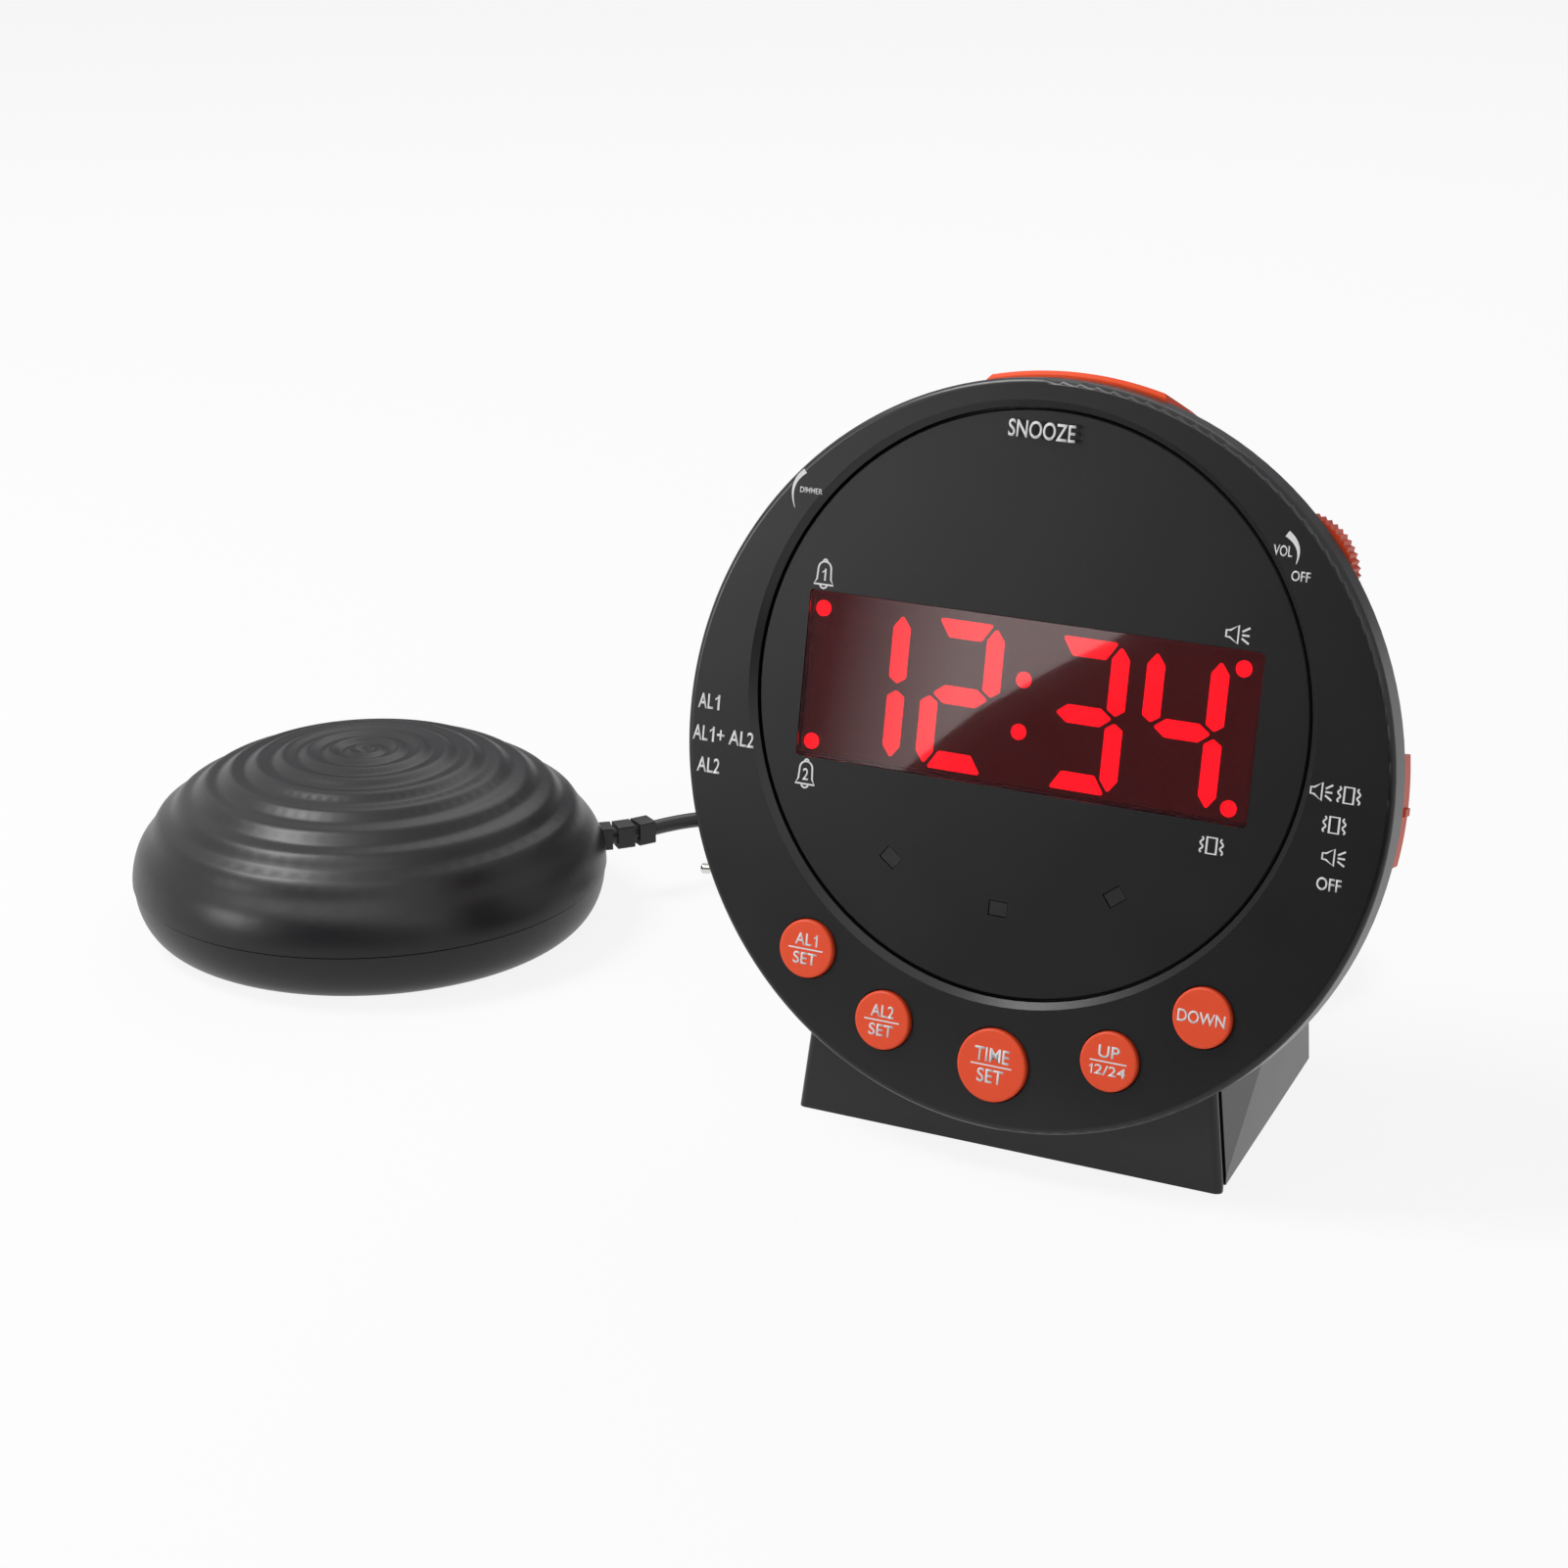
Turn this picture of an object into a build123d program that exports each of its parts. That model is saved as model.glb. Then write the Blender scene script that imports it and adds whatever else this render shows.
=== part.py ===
from build123d import *
import os
from math import cos, degrees, dist, hypot, pi, radians, sin, sqrt, tan

# A bed shaker alarm clock, in millimetres: a round clock head that leans back on a wedge
# stand, and a round vibrating puck on a cord, which goes under a pillow.
# Frame: +Z up, +X to the right seen from the front, and the clock faces -Y.
# The origin is on the table, in the middle of the stand's foot.

# Small sizes that every piece shares
running_gap = 0.3  # round a piece that moves
fixed_gap = 0.15  # round a piece that is set in place
shaft_gap = 0.05  # radial, round a turning shaft
overrun = 5.0  # how far a cut passes a face
screw_radius = 1.3
screw_head_radius = 2.4
screw_head_height = 1.6
pilot_gap = 0.05  # radial, round a screw's thread
screw_clearance = 0.3  # radial, where a screw only passes
screw_dome = 0.7  # rounding of a screw's head
screw_slot = 0.6  # width of the cross in a screw's head
screw_slot_length = 3.2

# Clock head: a disc, with depths measured inwards from the face panel
head_radius = 72.0
head_tilt = 12.5  # degrees, leaning back
head_height = 80.0  # middle of the disc above the table
head_forward = 27.6  # middle of the disc in front of the origin
head_side = 1.5  # middle of the disc, right of the stand's middle

# Front bezel
ring_proud = 1.5  # the ring stands in front of the panel
ring_thickness = 2.5
ring_bevel = 1.3
rim_depth = 5.0
rim_wall = 2.2
rim_edge_radius = 1.2
seat_wall = 1.2
seat_width = 2.6
seat_thickness = 1.5

# Face panel and its window
ring_top_width = 5.9  # of the ring that shows above the panel
panel_side = -1.5  # the panel's middle, sideways from the disc's middle
panel_rise = 9.95  # the panel's middle is above the disc's middle
panel_thickness = 2.4
panel_gap = 0.4
panel_edge = 0.35
window_share = 0.8246  # the window's width, of the panel's
window_shape = 0.35  # the window's height, of its width
window_side = -0.5  # the window's middle, sideways from the panel's middle
window_rise = 0.2  # the window's middle above the panel's middle
window_thickness = 1.2
window_recess = 0.15
window_corner = 0.8
window_lip = 0.4  # width of the shelf that the window lies on

# Alert lamps in the panel
lamp_width = 3.6
lamp_height = 2.7
lamp_recess = 0.2
lamp_setback = 9.65  # from the panel's edge to the arc that they lie on
lamp_side = -1.4  # middle of that arc, sideways from the panel's middle
lamp_rise = 7.15  # middle of that arc, above the panel's middle
lamp_step = 30.0  # degrees between them
lamp_turn = 36.0  # degrees, each outer lamp against the middle one

# Display
display_lip = 0.8  # the block reaches past the window's opening
digit_share = 0.895  # a digit's height, of the window's
digit_shape = 0.4345  # between the middles of its side segments, of its height
digit_pitch_share = 1.56  # from one digit to the next, of that width
digit_pair_share = 1.01  # from the colon to the nearest digit's middle, of that width
display_side = -1.6  # the colon's place, sideways from the panel's middle
display_rise = -0.25  # the digits' middle, above the panel's middle
segment_width = 3.45
segment_thickness = 0.35
segment_space = 1.4  # between two segments at a corner
segment_point = 2.3  # length of a segment's taper
segment_round = 0.35
colon_radius = 1.5
colon_spread = 5.0
marker_radius = 1.55
marker_inset_x = 3.2  # a corner lamp's middle, from the window's side
marker_inset_y = 3.1  # and from its top or bottom

# Main board, square to the head's axis
board_depth = 13.4
board_thickness = 1.6
board_setback = 11.5  # its round edge, from the disc's edge
board_top_setback = 22.0  # its straight top, from the disc's edge

# Buttons
button_radius = 5.8
time_button_radius = 7.15
button_proud = 1.1  # in front of the ring
button_edge = 0.45
button_setback = 12.2  # the arc of buttons, from the disc's edge
button_shift = -0.8  # the middle of that arc, against the disc's middle
button_rise = 0.5
button_first_angle = -132.5
button_angle_shares = (0.0, 0.232, 0.5, 0.768, 1.0)  # along the arc of buttons
button_arc = 86.6
button_flange = 1.0
button_flange_thickness = 1.0
button_travel = 0.5
stem_radius = 2.0
stem_setback = 3.3  # a stem is this much nearer to the middle than its cap
switch_size = 6.0
switch_height = 3.5
plunger_radius = 1.6
plunger_height = 0.7
plunger_gap = 0.05  # left over when a button is pressed home

# Thumb wheels for volume and for display brightness
wheel_radius = 12.0
wheel_thickness = 4.5
wheel_depth = 6.5
wheel_setback = 11.15  # its axis, from the disc's edge
wheel_angle = 41.7  # degrees above level
wheel_ridges = 56
wheel_ridge_height = 0.55
pot_radius = 4.5
pot_height = 2.1
pot_shaft_radius = 1.5
pot_shaft_end = 0.6  # the shaft stands out behind the wheel
pot_pad_radius = 5.0

# Side sliders
slider_length = 21.0
slider_inset = 0.8  # its face, from the disc's edge
slider_front = 6.3
slider_depth = 5.8
slider_edge = 0.8
slider_nub = 0.6
slider_nub_length = 1.4
slider_stem_length = 4.4
slider_stem_width = 2.0
slider_stem_depth = 8.6
slider_stem_reach = 10.0  # its stem's end, from the disc's edge
track_depth = 2.8  # the track's floor, from the disc's edge
mode_positions = 4
mode_pitch = 4.6  # degrees from one position to the next
alarm_positions = 3
alarm_pitch = 5.05
side_switch_setback = 11.2  # the switch's outer face, from the disc's edge
alarm_side = 180.0  # degrees, the left end of the disc's level diameter
side_switch_size = 8.6
side_switch_length = 22.0
side_switch_height = 5.4

# Snooze bar on top
snooze_width = 39.4
snooze_front_proud = 1.2  # the bar's front edge, out of the disc's edge
snooze_back_proud = 9.45  # the bar's rear edge, out of the housing
snooze_back_depth = 25.0
snooze_edge = 1.5
snooze_bevel = 4.4
snooze_bevel_height = 6.6
snooze_bevel_drop = 2.8  # the bevel begins this far below the bar's corner
snooze_wall = 2.2
snooze_travel = 2.0
snooze_skirt = 1.5  # the skirt reaches inside the housing
snooze_stem = 5.0

# Rear housing
housing_inset = 0.8  # the housing's front edge, from the disc's edge
housing_taper = 18.7  # its rear edge is this much smaller in radius
housing_corner_depth = 36.0
housing_depth = 38.0
housing_bevel = 2.0
housing_wall = 2.5  # radial
housing_back_wall = 2.2
lip_depth = 3.0
lip_wall = 1.7
boss_radius = 3.5
tube_radius = 4.0
case_screw_seat = 20.0
case_screw_end = 5.5
case_boss_setbacks = (14.8, 16.5)  # the upper and the lower screws, from the disc's edge
case_boss_angles = (21.3, -25.6)  # degrees above level

# Speaker behind its grille
speaker_radius = 20.0
speaker_rise = 24.0
speaker_flange = 1.5
speaker_depth = 12.8
speaker_magnet_radius = 10.0
speaker_magnet_height = 4.0
grille_hole_radius = 1.1
grille_pitch = 4.4
grille_rings = 3

# Sockets in the back
socket_side = 36.0
socket_rise = -18.0
power_bore_radius = 2.85
power_bore_length = 10.0
power_pin_radius = 1.0
power_collar_radius = 4.2
power_body = 10.0
power_body_length = 12.0
jack_bore_radius = 1.3
jack_bore_length = 12.0
jack_collar_radius = 3.2
jack_body = 8.0
jack_body_length = 14.0
collar_proud = 0.4

# Battery bay in the back
cell_radius = 5.2
cell_length = 43.5
cell_nub_radius = 1.9
cell_nub_length = 1.0
cell_gap = 0.2
contact_thickness = 0.4
contact_width = 8.0
contact_spring_radius = 2.2
contact_spring_length = 0.6
bay_rise = -18.0
bay_wall = 2.4
door_overlap = 2.0
door_thickness = 2.0
door_notch_width = 14.0
door_notch_depth = 0.8
door_notch_height = 3.0
door_pin_radius = 0.6
door_pin_length = 1.2

# Stand
stand_width = 90.2
stand_depth = 65.4
stand_height = 34.0
stand_side_lean = 6.9  # degrees
stand_front_lean = 4.3  # degrees
stand_rear_lean = 10.4  # degrees
stand_rear_inset = 4.7  # narrower at the back, each side
stand_rear_height = 12.0
stand_ridge_depth = 30.0  # the slope begins this far in front of the back
stand_wall = 2.2
stand_lift = 0.5  # the walls end above the table
front_plate_thickness = 1.8
plate_corner = 1.5
seam_width = 0.5
seam_depth = 1.0
seam_rib = 0.7
cradle_gap = 0.25
stand_screw_side = 20.0
stand_screw_depth = 22.0
stand_screw_pad = 1.0
stand_screw_pad_length = 6.6
stand_screw_length = 12.0
stand_boss_length = 10.5
pad_thickness = 0.9
pad_side_inset = 12.1  # from the stand's side
pad_end_inset = 10.7  # from its front and its back
pad_corner = 4.0
base_thickness = 2.0
base_screw_inset = 8.1  # from the stand's side
base_screw_setback = 7.7  # from its front and its back
base_post_radius = 3.4
base_post_height = 9.0
base_screw_length = 8.0
base_seat = 1.0  # of the base is left over a screw's head

# Shaker puck
shaker_x = -176.7
shaker_y = 13.3
shaker_radius = 53.5
shaker_height = 40.3
shaker_seam = 12.8
shaker_foot_height = 0.8
shaker_bottom_radius = 45.0
dome_steps = 8  # spans of the smooth dome's curve
bowl_steps = 6  # spans of the curve under the seam
skirt_shares = (0.33, 0.67, 1.0)  # points between the last ring and the seam
shaker_bottom_wall = 2.2
shaker_dome_wall = 2.4
dome_fullness = 0.06  # how far the dome swells above an ellipse, of its height
ripples = 9
ripple_first = 5.5  # degrees along the dome, to the first hollow
ripple_step = 4.87  # degrees from the first hollow to the second
ripple_growth = 0.33  # each step is wider than the one before
ripple_height = 0.38
shaker_groove = 0.35
shaker_lip_height = 2.5
shaker_lip_wall = 1.4
shaker_foot_radius = 5.0
shaker_foot_circle_radius = 38.0
shaker_screw_circle_radius = 40.0
shaker_post_radius = 3.6
shaker_boss_floor = 1.5  # over a screw's head
shaker_screw_length = 11.0

# Shaker motor
motor_radius = 12.0
motor_length = 28.0
motor_edge = 1.0
motor_nose_radius = 5.0
motor_nose_length = 2.0
motor_height = 17.0
motor_back = 20.0  # the motor's rear end, behind the puck's middle
motor_shaft_radius = 1.5
motor_shaft_length = 13.5
motor_shaft_inside = 6.0
weight_setback = 1.0  # the shaft's end stands out of the weight
weight_radius = 11.0
weight_thickness = 9.0
weight_hub_radius = 3.5
cradle_wall = 3.0
cradle_length = 20.0
clamp_screw_length = 9.0
clamp_thickness = 1.6
clamp_ear = 8.0
clamp_width = 10.0

# Strain relief on the puck
relief_angle = 38.0  # degrees, where it leaves the puck
relief_bend = 24.0  # degrees
relief_length = 12.2
relief_height = 15.4
relief_rib_length = 4.0
relief_rib_height = 5.4
relief_rib_width = 5.0
relief_rib_gap = 0.9
relief_rib_edge = 0.5
relief_tip = 0.4  # the core stands out past the last rib
relief_ribs = 3
relief_core_radius = 2.0
relief_flange_radius = 4.0
relief_flange_depth = 4.5  # inside the puck, from its outer skin

# Cord, with its plug
cord_diameter = 3.5
coil_x = 4.0
coil_y = 64.0
coil_pitch = 3.95  # from one turn to the next, beside it or on it
coil_outer_radius = 24.7
coil_half_turns = 6  # in a layer, before the half turn that climbs
coil_layers = 4
coil_lift = 0.9  # the coil lies on its tie
tie_width = 3.5
tie_thickness = 0.75
tie_gap = 0.3
tie_inner_gap = 0.9  # on the coil's inner side
coil_samples = 24  # points on each arc, where the gap is measured
plug_tip_x = -118.4
plug_tip_y = 62.8
plug_height = 4.3
plug_angle = 19.0  # degrees, from the tip to the cord
plug_pin_radius = 1.25
plug_pin_length = 11.5
plug_pin_tip = 0.9
plug_pin_neck = 0.35
plug_pin_neck_start = 2.2
plug_pin_neck_width = 0.5
plug_sleeve_radius = 4.2
plug_sleeve_length = 22.0
plug_edge = 0.8
plug_tail_root_radius = 3.2
plug_tail_radius = 2.2
plug_tail_length = 10.0

# Places worked out from the sizes above
ring_back = ring_thickness - ring_proud
panel_radius = head_radius - panel_rise - ring_top_width
seat_depth = panel_thickness + seat_thickness
well_radius = panel_radius + panel_gap
panel_centre = (panel_side, panel_rise)
window_width = 2 * panel_radius * window_share
window_height = window_width * window_shape
window_centre = (panel_side + window_side, panel_rise + window_rise)
window_back = window_recess + window_thickness
lamp_circle_radius = panel_radius - lamp_setback
lamp_middle = (panel_side + lamp_side, panel_rise + lamp_rise)
digit_height = window_height * digit_share
digit_width = digit_height * digit_shape
digit_pitch = digit_width * digit_pitch_share
digit_pair_offset = digit_width * digit_pair_share
display_x = panel_side + display_side
display_y = panel_rise + display_rise
marker_spread_x = window_width / 2 - marker_inset_x
marker_spread_y = window_height / 2 - marker_inset_y
board_radius = head_radius - board_setback
board_top = head_radius - board_top_setback
button_circle_radius = head_radius - button_setback
stem_circle_radius = button_circle_radius - stem_setback
slider_radius = head_radius - slider_inset
slider_stem_end = head_radius - slider_stem_reach
track_floor = head_radius - track_depth
side_switch_radius = head_radius - side_switch_setback
housing_front_radius = head_radius - housing_inset
housing_back_radius = housing_front_radius - housing_taper
opening_width = window_width - 2 * window_lip
opening_height = window_height - 2 * window_lip
board_back = board_depth + board_thickness
lip_radius = head_radius - rim_wall - fixed_gap
housing_slope = (housing_front_radius - housing_back_radius) / (housing_corner_depth - rim_depth)
back_wall_depth = housing_depth - housing_back_wall
snooze_front_radius = head_radius + snooze_front_proud
snooze_back_radius = (
    housing_front_radius - (snooze_back_depth - rim_depth) * housing_slope + snooze_back_proud
)
snooze_switch_depth = board_depth - switch_height  # the front of the switch under the bar
button_angles = [button_first_angle + button_arc * share for share in button_angle_shares]
button_names = ("alarm_1_button", "alarm_2_button", "time_button", "up_button", "down_button")
half_depth = stand_depth / 2
base_screw_side = stand_width / 2 - base_screw_inset
base_screw_reach = half_depth - base_screw_setback
coil_step = coil_pitch / 2
coil_height = coil_lift + cord_diameter / 2

HEAD = Plane(
    origin=(head_side, -head_forward, head_height),
    x_dir=(1, 0, 0),
    z_dir=(0, -cos(radians(head_tilt)), sin(radians(head_tilt))),
)
BOTTOM = (Align.CENTER, Align.CENTER, Align.MIN)
nodes = {}


def keep(name, shape):
    """Write one piece to its own file."""
    nodes[name] = shape
    shape.label = name
    export_step(shape, f"parts/{name}.step")


def group(shapes):
    return Compound(children=list(shapes))


def on_head(shape):
    """Turn a piece made square to the face into its leaning place."""
    return shape.moved(HEAD.location)


def polar(radius, angle, middle=(0, 0)):
    return (middle[0] + radius * cos(radians(angle)), middle[1] + radius * sin(radians(angle)))


wheel_centre = head_radius - wheel_setback
wheel_places = (polar(wheel_centre, wheel_angle), polar(wheel_centre, 180 - wheel_angle))
case_boss_places = []
for boss_setback, boss_angle in zip(case_boss_setbacks, case_boss_angles):
    case_boss_places.append(polar(head_radius - boss_setback, boss_angle))
    case_boss_places.append(polar(head_radius - boss_setback, 180 - boss_angle))


def disc(radius, front, back, at=(0, 0)):
    """A cylinder square to the face between two depths."""
    return Pos(at[0], at[1], -back) * Cylinder(radius, back - front, align=BOTTOM)


def block(width, height, front, back, at=(0, 0), turn=0):
    """A box square to the face between two depths."""
    return Pos(at[0], at[1], -back) * Rot(0, 0, turn) * Box(width, height, back - front, align=BOTTOM)


def plate(outline, front, back, at=(0, 0), turn=0):
    """A flat outline made thick between two depths."""
    return Pos(at[0], at[1], -back) * Rot(0, 0, turn) * extrude(outline, back - front)


def turned(points):
    """A solid of revolution about the head's axis, from points of radius and depth."""
    outline = Polyline(*[(radius, 0, -depth) for radius, depth in points], close=True)
    return revolve(make_face(outline), Axis.Z)


def sector(points, middle, half_angle):
    """Part of a solid of revolution about the head's axis, half_angle each side of middle."""
    outline = make_face(Polyline(*[(radius, 0, -depth) for radius, depth in points], close=True))
    return Rot(0, 0, middle - half_angle) * revolve(outline, Axis.Z, 2 * half_angle)


def housing_radius(depth):
    """Outer radius of the housing's cone at a depth."""
    return housing_front_radius - (depth - rim_depth) * housing_slope


def arc_angle(length, radius):
    return degrees(length / radius)


def screw(length):
    """A screw that points down, its head's underside at zero."""
    head = Cylinder(screw_head_radius, screw_head_height, align=BOTTOM)
    head = fillet(head.edges().group_by(Axis.Z)[-1], screw_dome)
    recess = Pos(0, 0, screw_head_height) * Box(screw_slot_length, screw_slot, screw_head_height)
    shank = Pos(0, 0, -length) * Cylinder(screw_radius, length, align=BOTTOM)
    return head + shank - recess - Rot(0, 0, 90) * recess


# Clock head: front
def front_bezel():
    bezel = disc(head_radius, -ring_proud, rim_depth)
    bezel = fillet(bezel.edges().group_by(Axis.Z)[-1], rim_edge_radius)
    bezel -= disc(head_radius - rim_wall, ring_back, rim_depth + overrun)
    seat = disc(well_radius + seat_wall, 0, seat_depth, panel_centre)
    seat -= disc(well_radius - seat_width, -overrun, seat_depth + overrun, panel_centre)
    bezel = bezel - disc(well_radius, -ring_proud - overrun, ring_back + overrun, panel_centre) + seat
    for place in case_boss_places:
        bezel += disc(boss_radius, ring_back, board_depth, place)
    for place in wheel_places:
        bezel += disc(pot_pad_radius, ring_back, wheel_depth - running_gap - pot_height, place)
    bezel -= disc(well_radius, -ring_proud - overrun, panel_thickness, panel_centre)
    bevel = Cone(well_radius, well_radius + ring_bevel, ring_bevel, align=BOTTOM)
    bezel -= Pos(panel_side, panel_rise, ring_proud - ring_bevel) * bevel
    for place in case_boss_places:
        bezel -= disc(screw_radius + pilot_gap, case_screw_end - pilot_gap, board_depth + overrun, place)
    for index, angle in enumerate(button_angles):
        hole = button_size(index) + running_gap
        bezel -= disc(hole, -ring_proud - overrun, ring_back + overrun / 2, button_place(angle))
    return bezel


def face_panel():
    panel = disc(panel_radius, 0, panel_thickness, panel_centre)
    panel = chamfer(panel.edges().group_by(Axis.Z)[-1], panel_edge)
    recess = RectangleRounded(window_width + 2 * fixed_gap, window_height + 2 * fixed_gap, window_corner)
    panel -= plate(recess, -overrun, window_back, window_centre)
    panel -= block(opening_width, opening_height, -overrun, panel_thickness + overrun, window_centre)
    for place, turn in lamp_places():
        gap = 2 * fixed_gap
        panel -= block(lamp_width + gap, lamp_height + gap, -overrun, panel_thickness + overrun, place, turn)
    return panel


def lamp_places():
    """The three alert lamps fan out below the window."""
    places = []
    for step in (-1, 0, 1):
        place = polar(lamp_circle_radius, step * lamp_step - 90, lamp_middle)
        places.append((place, step * lamp_turn))
    return places


def display_window():
    outline = RectangleRounded(window_width, window_height, window_corner)
    return plate(outline, window_recess, window_back, window_centre)


def alert_leds():
    """Three small lamps, each with a flange behind the panel."""
    lamps = []
    for place, turn in lamp_places():
        lens = block(lamp_width, lamp_height, lamp_recess, panel_thickness, place, turn)
        rim = 2 * seat_wall
        foot = block(lamp_width + rim, lamp_height + rim, panel_thickness, board_depth, place, turn)
        lamps.append(lens + foot)
    return group(lamps)


# Clock head: display
def display_block():
    width = opening_width + 2 * display_lip
    height = opening_height + 2 * display_lip
    return block(width, height, panel_thickness, board_depth, window_centre)


def upright_segment(half_height, outer_end):
    """A side segment of a digit, pointed at its outer end and blunt at its inner end."""
    half = segment_width / 2
    blunt = segment_point / 2
    points = [
        (-half, -half_height + blunt),
        (-half, half_height - segment_point),
        (0, half_height),
        (half, half_height - segment_point),
        (half, -half_height + blunt),
        (0, -half_height),
    ]
    face = make_face(Polyline(*[(x, y * outer_end) for x, y in points], close=True))
    return fillet(face.vertices(), segment_round)


def level_segment(side):
    """The top (1), middle (0) or bottom (-1) segment of a digit."""
    half = digit_width / 2 - segment_space / 2
    inner = half - segment_point
    top = segment_width / 2
    if side:
        points = [(-half, top), (half, top), (inner, -top), (-inner, -top)]
        points = [(x, y * side) for x, y in points]
    else:
        points = [(-half, 0), (-inner, top), (inner, top), (half, 0), (inner, -top), (-inner, -top)]
    face = make_face(Polyline(*points, close=True))
    return fillet(face.vertices(), segment_round)


def digit(lit, middle):
    """The lit segments of one digit, named a to g clockwise from the top."""
    reach = (digit_height - segment_width) / 2
    tall = (digit_height / 2 - segment_space) / 2
    rise = digit_height / 2 - tall - segment_space / 2
    side = digit_width / 2
    outlines = {
        "a": (level_segment(1), 0, reach),
        "b": (upright_segment(tall, 1), side, rise),
        "c": (upright_segment(tall, -1), side, -rise),
        "d": (level_segment(-1), 0, -reach),
        "e": (upright_segment(tall, -1), -side, -rise),
        "f": (upright_segment(tall, 1), -side, rise),
        "g": (level_segment(0), 0, 0),
    }
    front = panel_thickness - segment_thickness
    solids = []
    for name in lit:
        outline, x, y = outlines[name]
        solids.append(plate(outline, front, panel_thickness, (middle + x, display_y + y)))
    return solids


def lit_segments():
    """The time 12:34, with the colon between the pairs."""
    middles = [
        display_x - digit_pair_offset - digit_pitch,
        display_x - digit_pair_offset,
        display_x + digit_pair_offset,
        display_x + digit_pair_offset + digit_pitch,
    ]
    solids = []
    for lit, middle in zip(("bc", "abged", "abgcd", "fgbc"), middles):
        solids += digit(lit, middle)
    front = panel_thickness - segment_thickness
    for side in (1, -1):
        place = (display_x, display_y + side * colon_spread)
        solids.append(disc(colon_radius, front, panel_thickness, place))
    return group(solids)


def indicator_leds():
    """A round lamp in each corner of the display."""
    front = panel_thickness - segment_thickness
    places = [
        (display_x + x * marker_spread_x, display_y + y * marker_spread_y)
        for x in (-1, 1)
        for y in (-1, 1)
    ]
    return group(disc(marker_radius, front, panel_thickness, place) for place in places)


def main_board():
    board = disc(board_radius, board_depth, board_back)
    board &= block(
        2 * head_radius,
        head_radius + board_top,
        board_depth - overrun,
        board_back + overrun,
        (0, (board_top - head_radius) / 2),
    )
    for place in case_boss_places:
        board -= disc(screw_radius + screw_clearance, board_depth - overrun, board_back + overrun, place)
    return board


# Clock head: buttons
def button_size(index):
    return time_button_radius if index == 2 else button_radius


def button_place(angle):
    return polar(button_circle_radius, angle, (button_shift, button_rise))


def stem_place(angle):
    return polar(stem_circle_radius, angle, (button_shift, button_rise))


def button(index):
    """A cap through the ring, its flange under it and its stem to the switch."""
    angle = button_angles[index]
    radius = button_size(index)
    cap = disc(radius, -ring_proud - button_proud, ring_back, button_place(angle))
    cap = fillet(cap.edges().group_by(Axis.Z)[-1], button_edge)
    flange_back = ring_back + button_flange_thickness
    flange = disc(radius + button_flange, ring_back, flange_back, button_place(angle))
    stem_back = board_depth - switch_height - plunger_height - button_travel - plunger_gap
    stem = disc(stem_radius, ring_back, stem_back, stem_place(angle))
    return cap + flange + stem


def tact_switches():
    """The five switches under the buttons."""
    switches = []
    for angle in button_angles:
        place = stem_place(angle)
        top = board_depth - switch_height
        body = block(switch_size, switch_size, top, board_depth, place, angle)
        switches.append(body + disc(plunger_radius, top - plunger_height, top, place))
    return group(switches)


# Clock head: thumb wheels
def thumb_wheel(place):
    points = []
    for step in range(2 * wheel_ridges):
        radius = wheel_radius - (step % 2) * wheel_ridge_height
        points.append(polar(radius, step * 180 / wheel_ridges))
    back = wheel_depth + wheel_thickness
    wheel = plate(make_face(Polyline(*points, close=True)), wheel_depth, back, place)
    return wheel - disc(pot_shaft_radius + shaft_gap, 0, back + overrun, place)


def rotary_pot(place):
    """The rotary control that a thumb wheel turns on."""
    back = wheel_depth - running_gap
    body = disc(pot_radius, back - pot_height, back, place)
    return body + disc(pot_shaft_radius, back, wheel_depth + wheel_thickness + pot_shaft_end, place)


# Clock head: side sliders
def side_slider(middle):
    back = slider_front + slider_depth
    inner_back = housing_radius(back) + running_gap
    inner_front = track_floor + running_gap
    shoulder = rim_depth + (housing_front_radius - track_floor) / housing_slope
    half = arc_angle(slider_length / 2, slider_radius)
    profile = [
        (inner_front, slider_front),
        (slider_radius - slider_edge / 2, slider_front),
        (slider_radius, slider_front + slider_edge / 2),
        (slider_radius, back - slider_edge),
        (slider_radius - slider_edge, back),
        (inner_back, back),
        (inner_front, shoulder),
    ]
    cap = sector(profile, middle, half)
    nub = [
        (slider_radius - slider_edge, slider_front + slider_edge),
        (slider_radius + slider_nub, slider_front + 2 * slider_edge),
        (slider_radius + slider_nub, back - 2 * slider_edge),
        (slider_radius - slider_edge, back - slider_edge),
    ]
    stem = [
        (slider_stem_end, slider_stem_depth),
        (slider_radius - slider_edge, slider_stem_depth),
        (slider_radius - slider_edge, slider_stem_depth + slider_stem_width),
        (slider_stem_end, slider_stem_depth + slider_stem_width),
    ]
    cap += sector(nub, middle, arc_angle(slider_nub_length / 2, slider_radius))
    return cap + sector(stem, middle, arc_angle(slider_stem_length / 2, slider_radius))


def slider_cut(rest, turn):
    """The track and the slot that a slider needs, from its rest through its turn."""
    back = slider_front + slider_depth + running_gap
    middle = rest + turn / 2
    half_turn = abs(turn) / 2
    cap_half = arc_angle(slider_length / 2 + running_gap, slider_radius) + half_turn
    stem_half = arc_angle(slider_stem_length / 2 + running_gap, slider_stem_end) + half_turn
    front = slider_front - running_gap
    track = [(track_floor, front), (head_radius, front), (head_radius, back), (track_floor, back)]
    stem_front = slider_stem_depth - running_gap
    stem_back = slider_stem_depth + slider_stem_width + running_gap
    slot = [
        (slider_stem_end, stem_front),
        (head_radius, stem_front),
        (head_radius, stem_back),
        (slider_stem_end, stem_back),
    ]
    return sector(track, middle, cap_half) + sector(slot, middle, stem_half)


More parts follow.
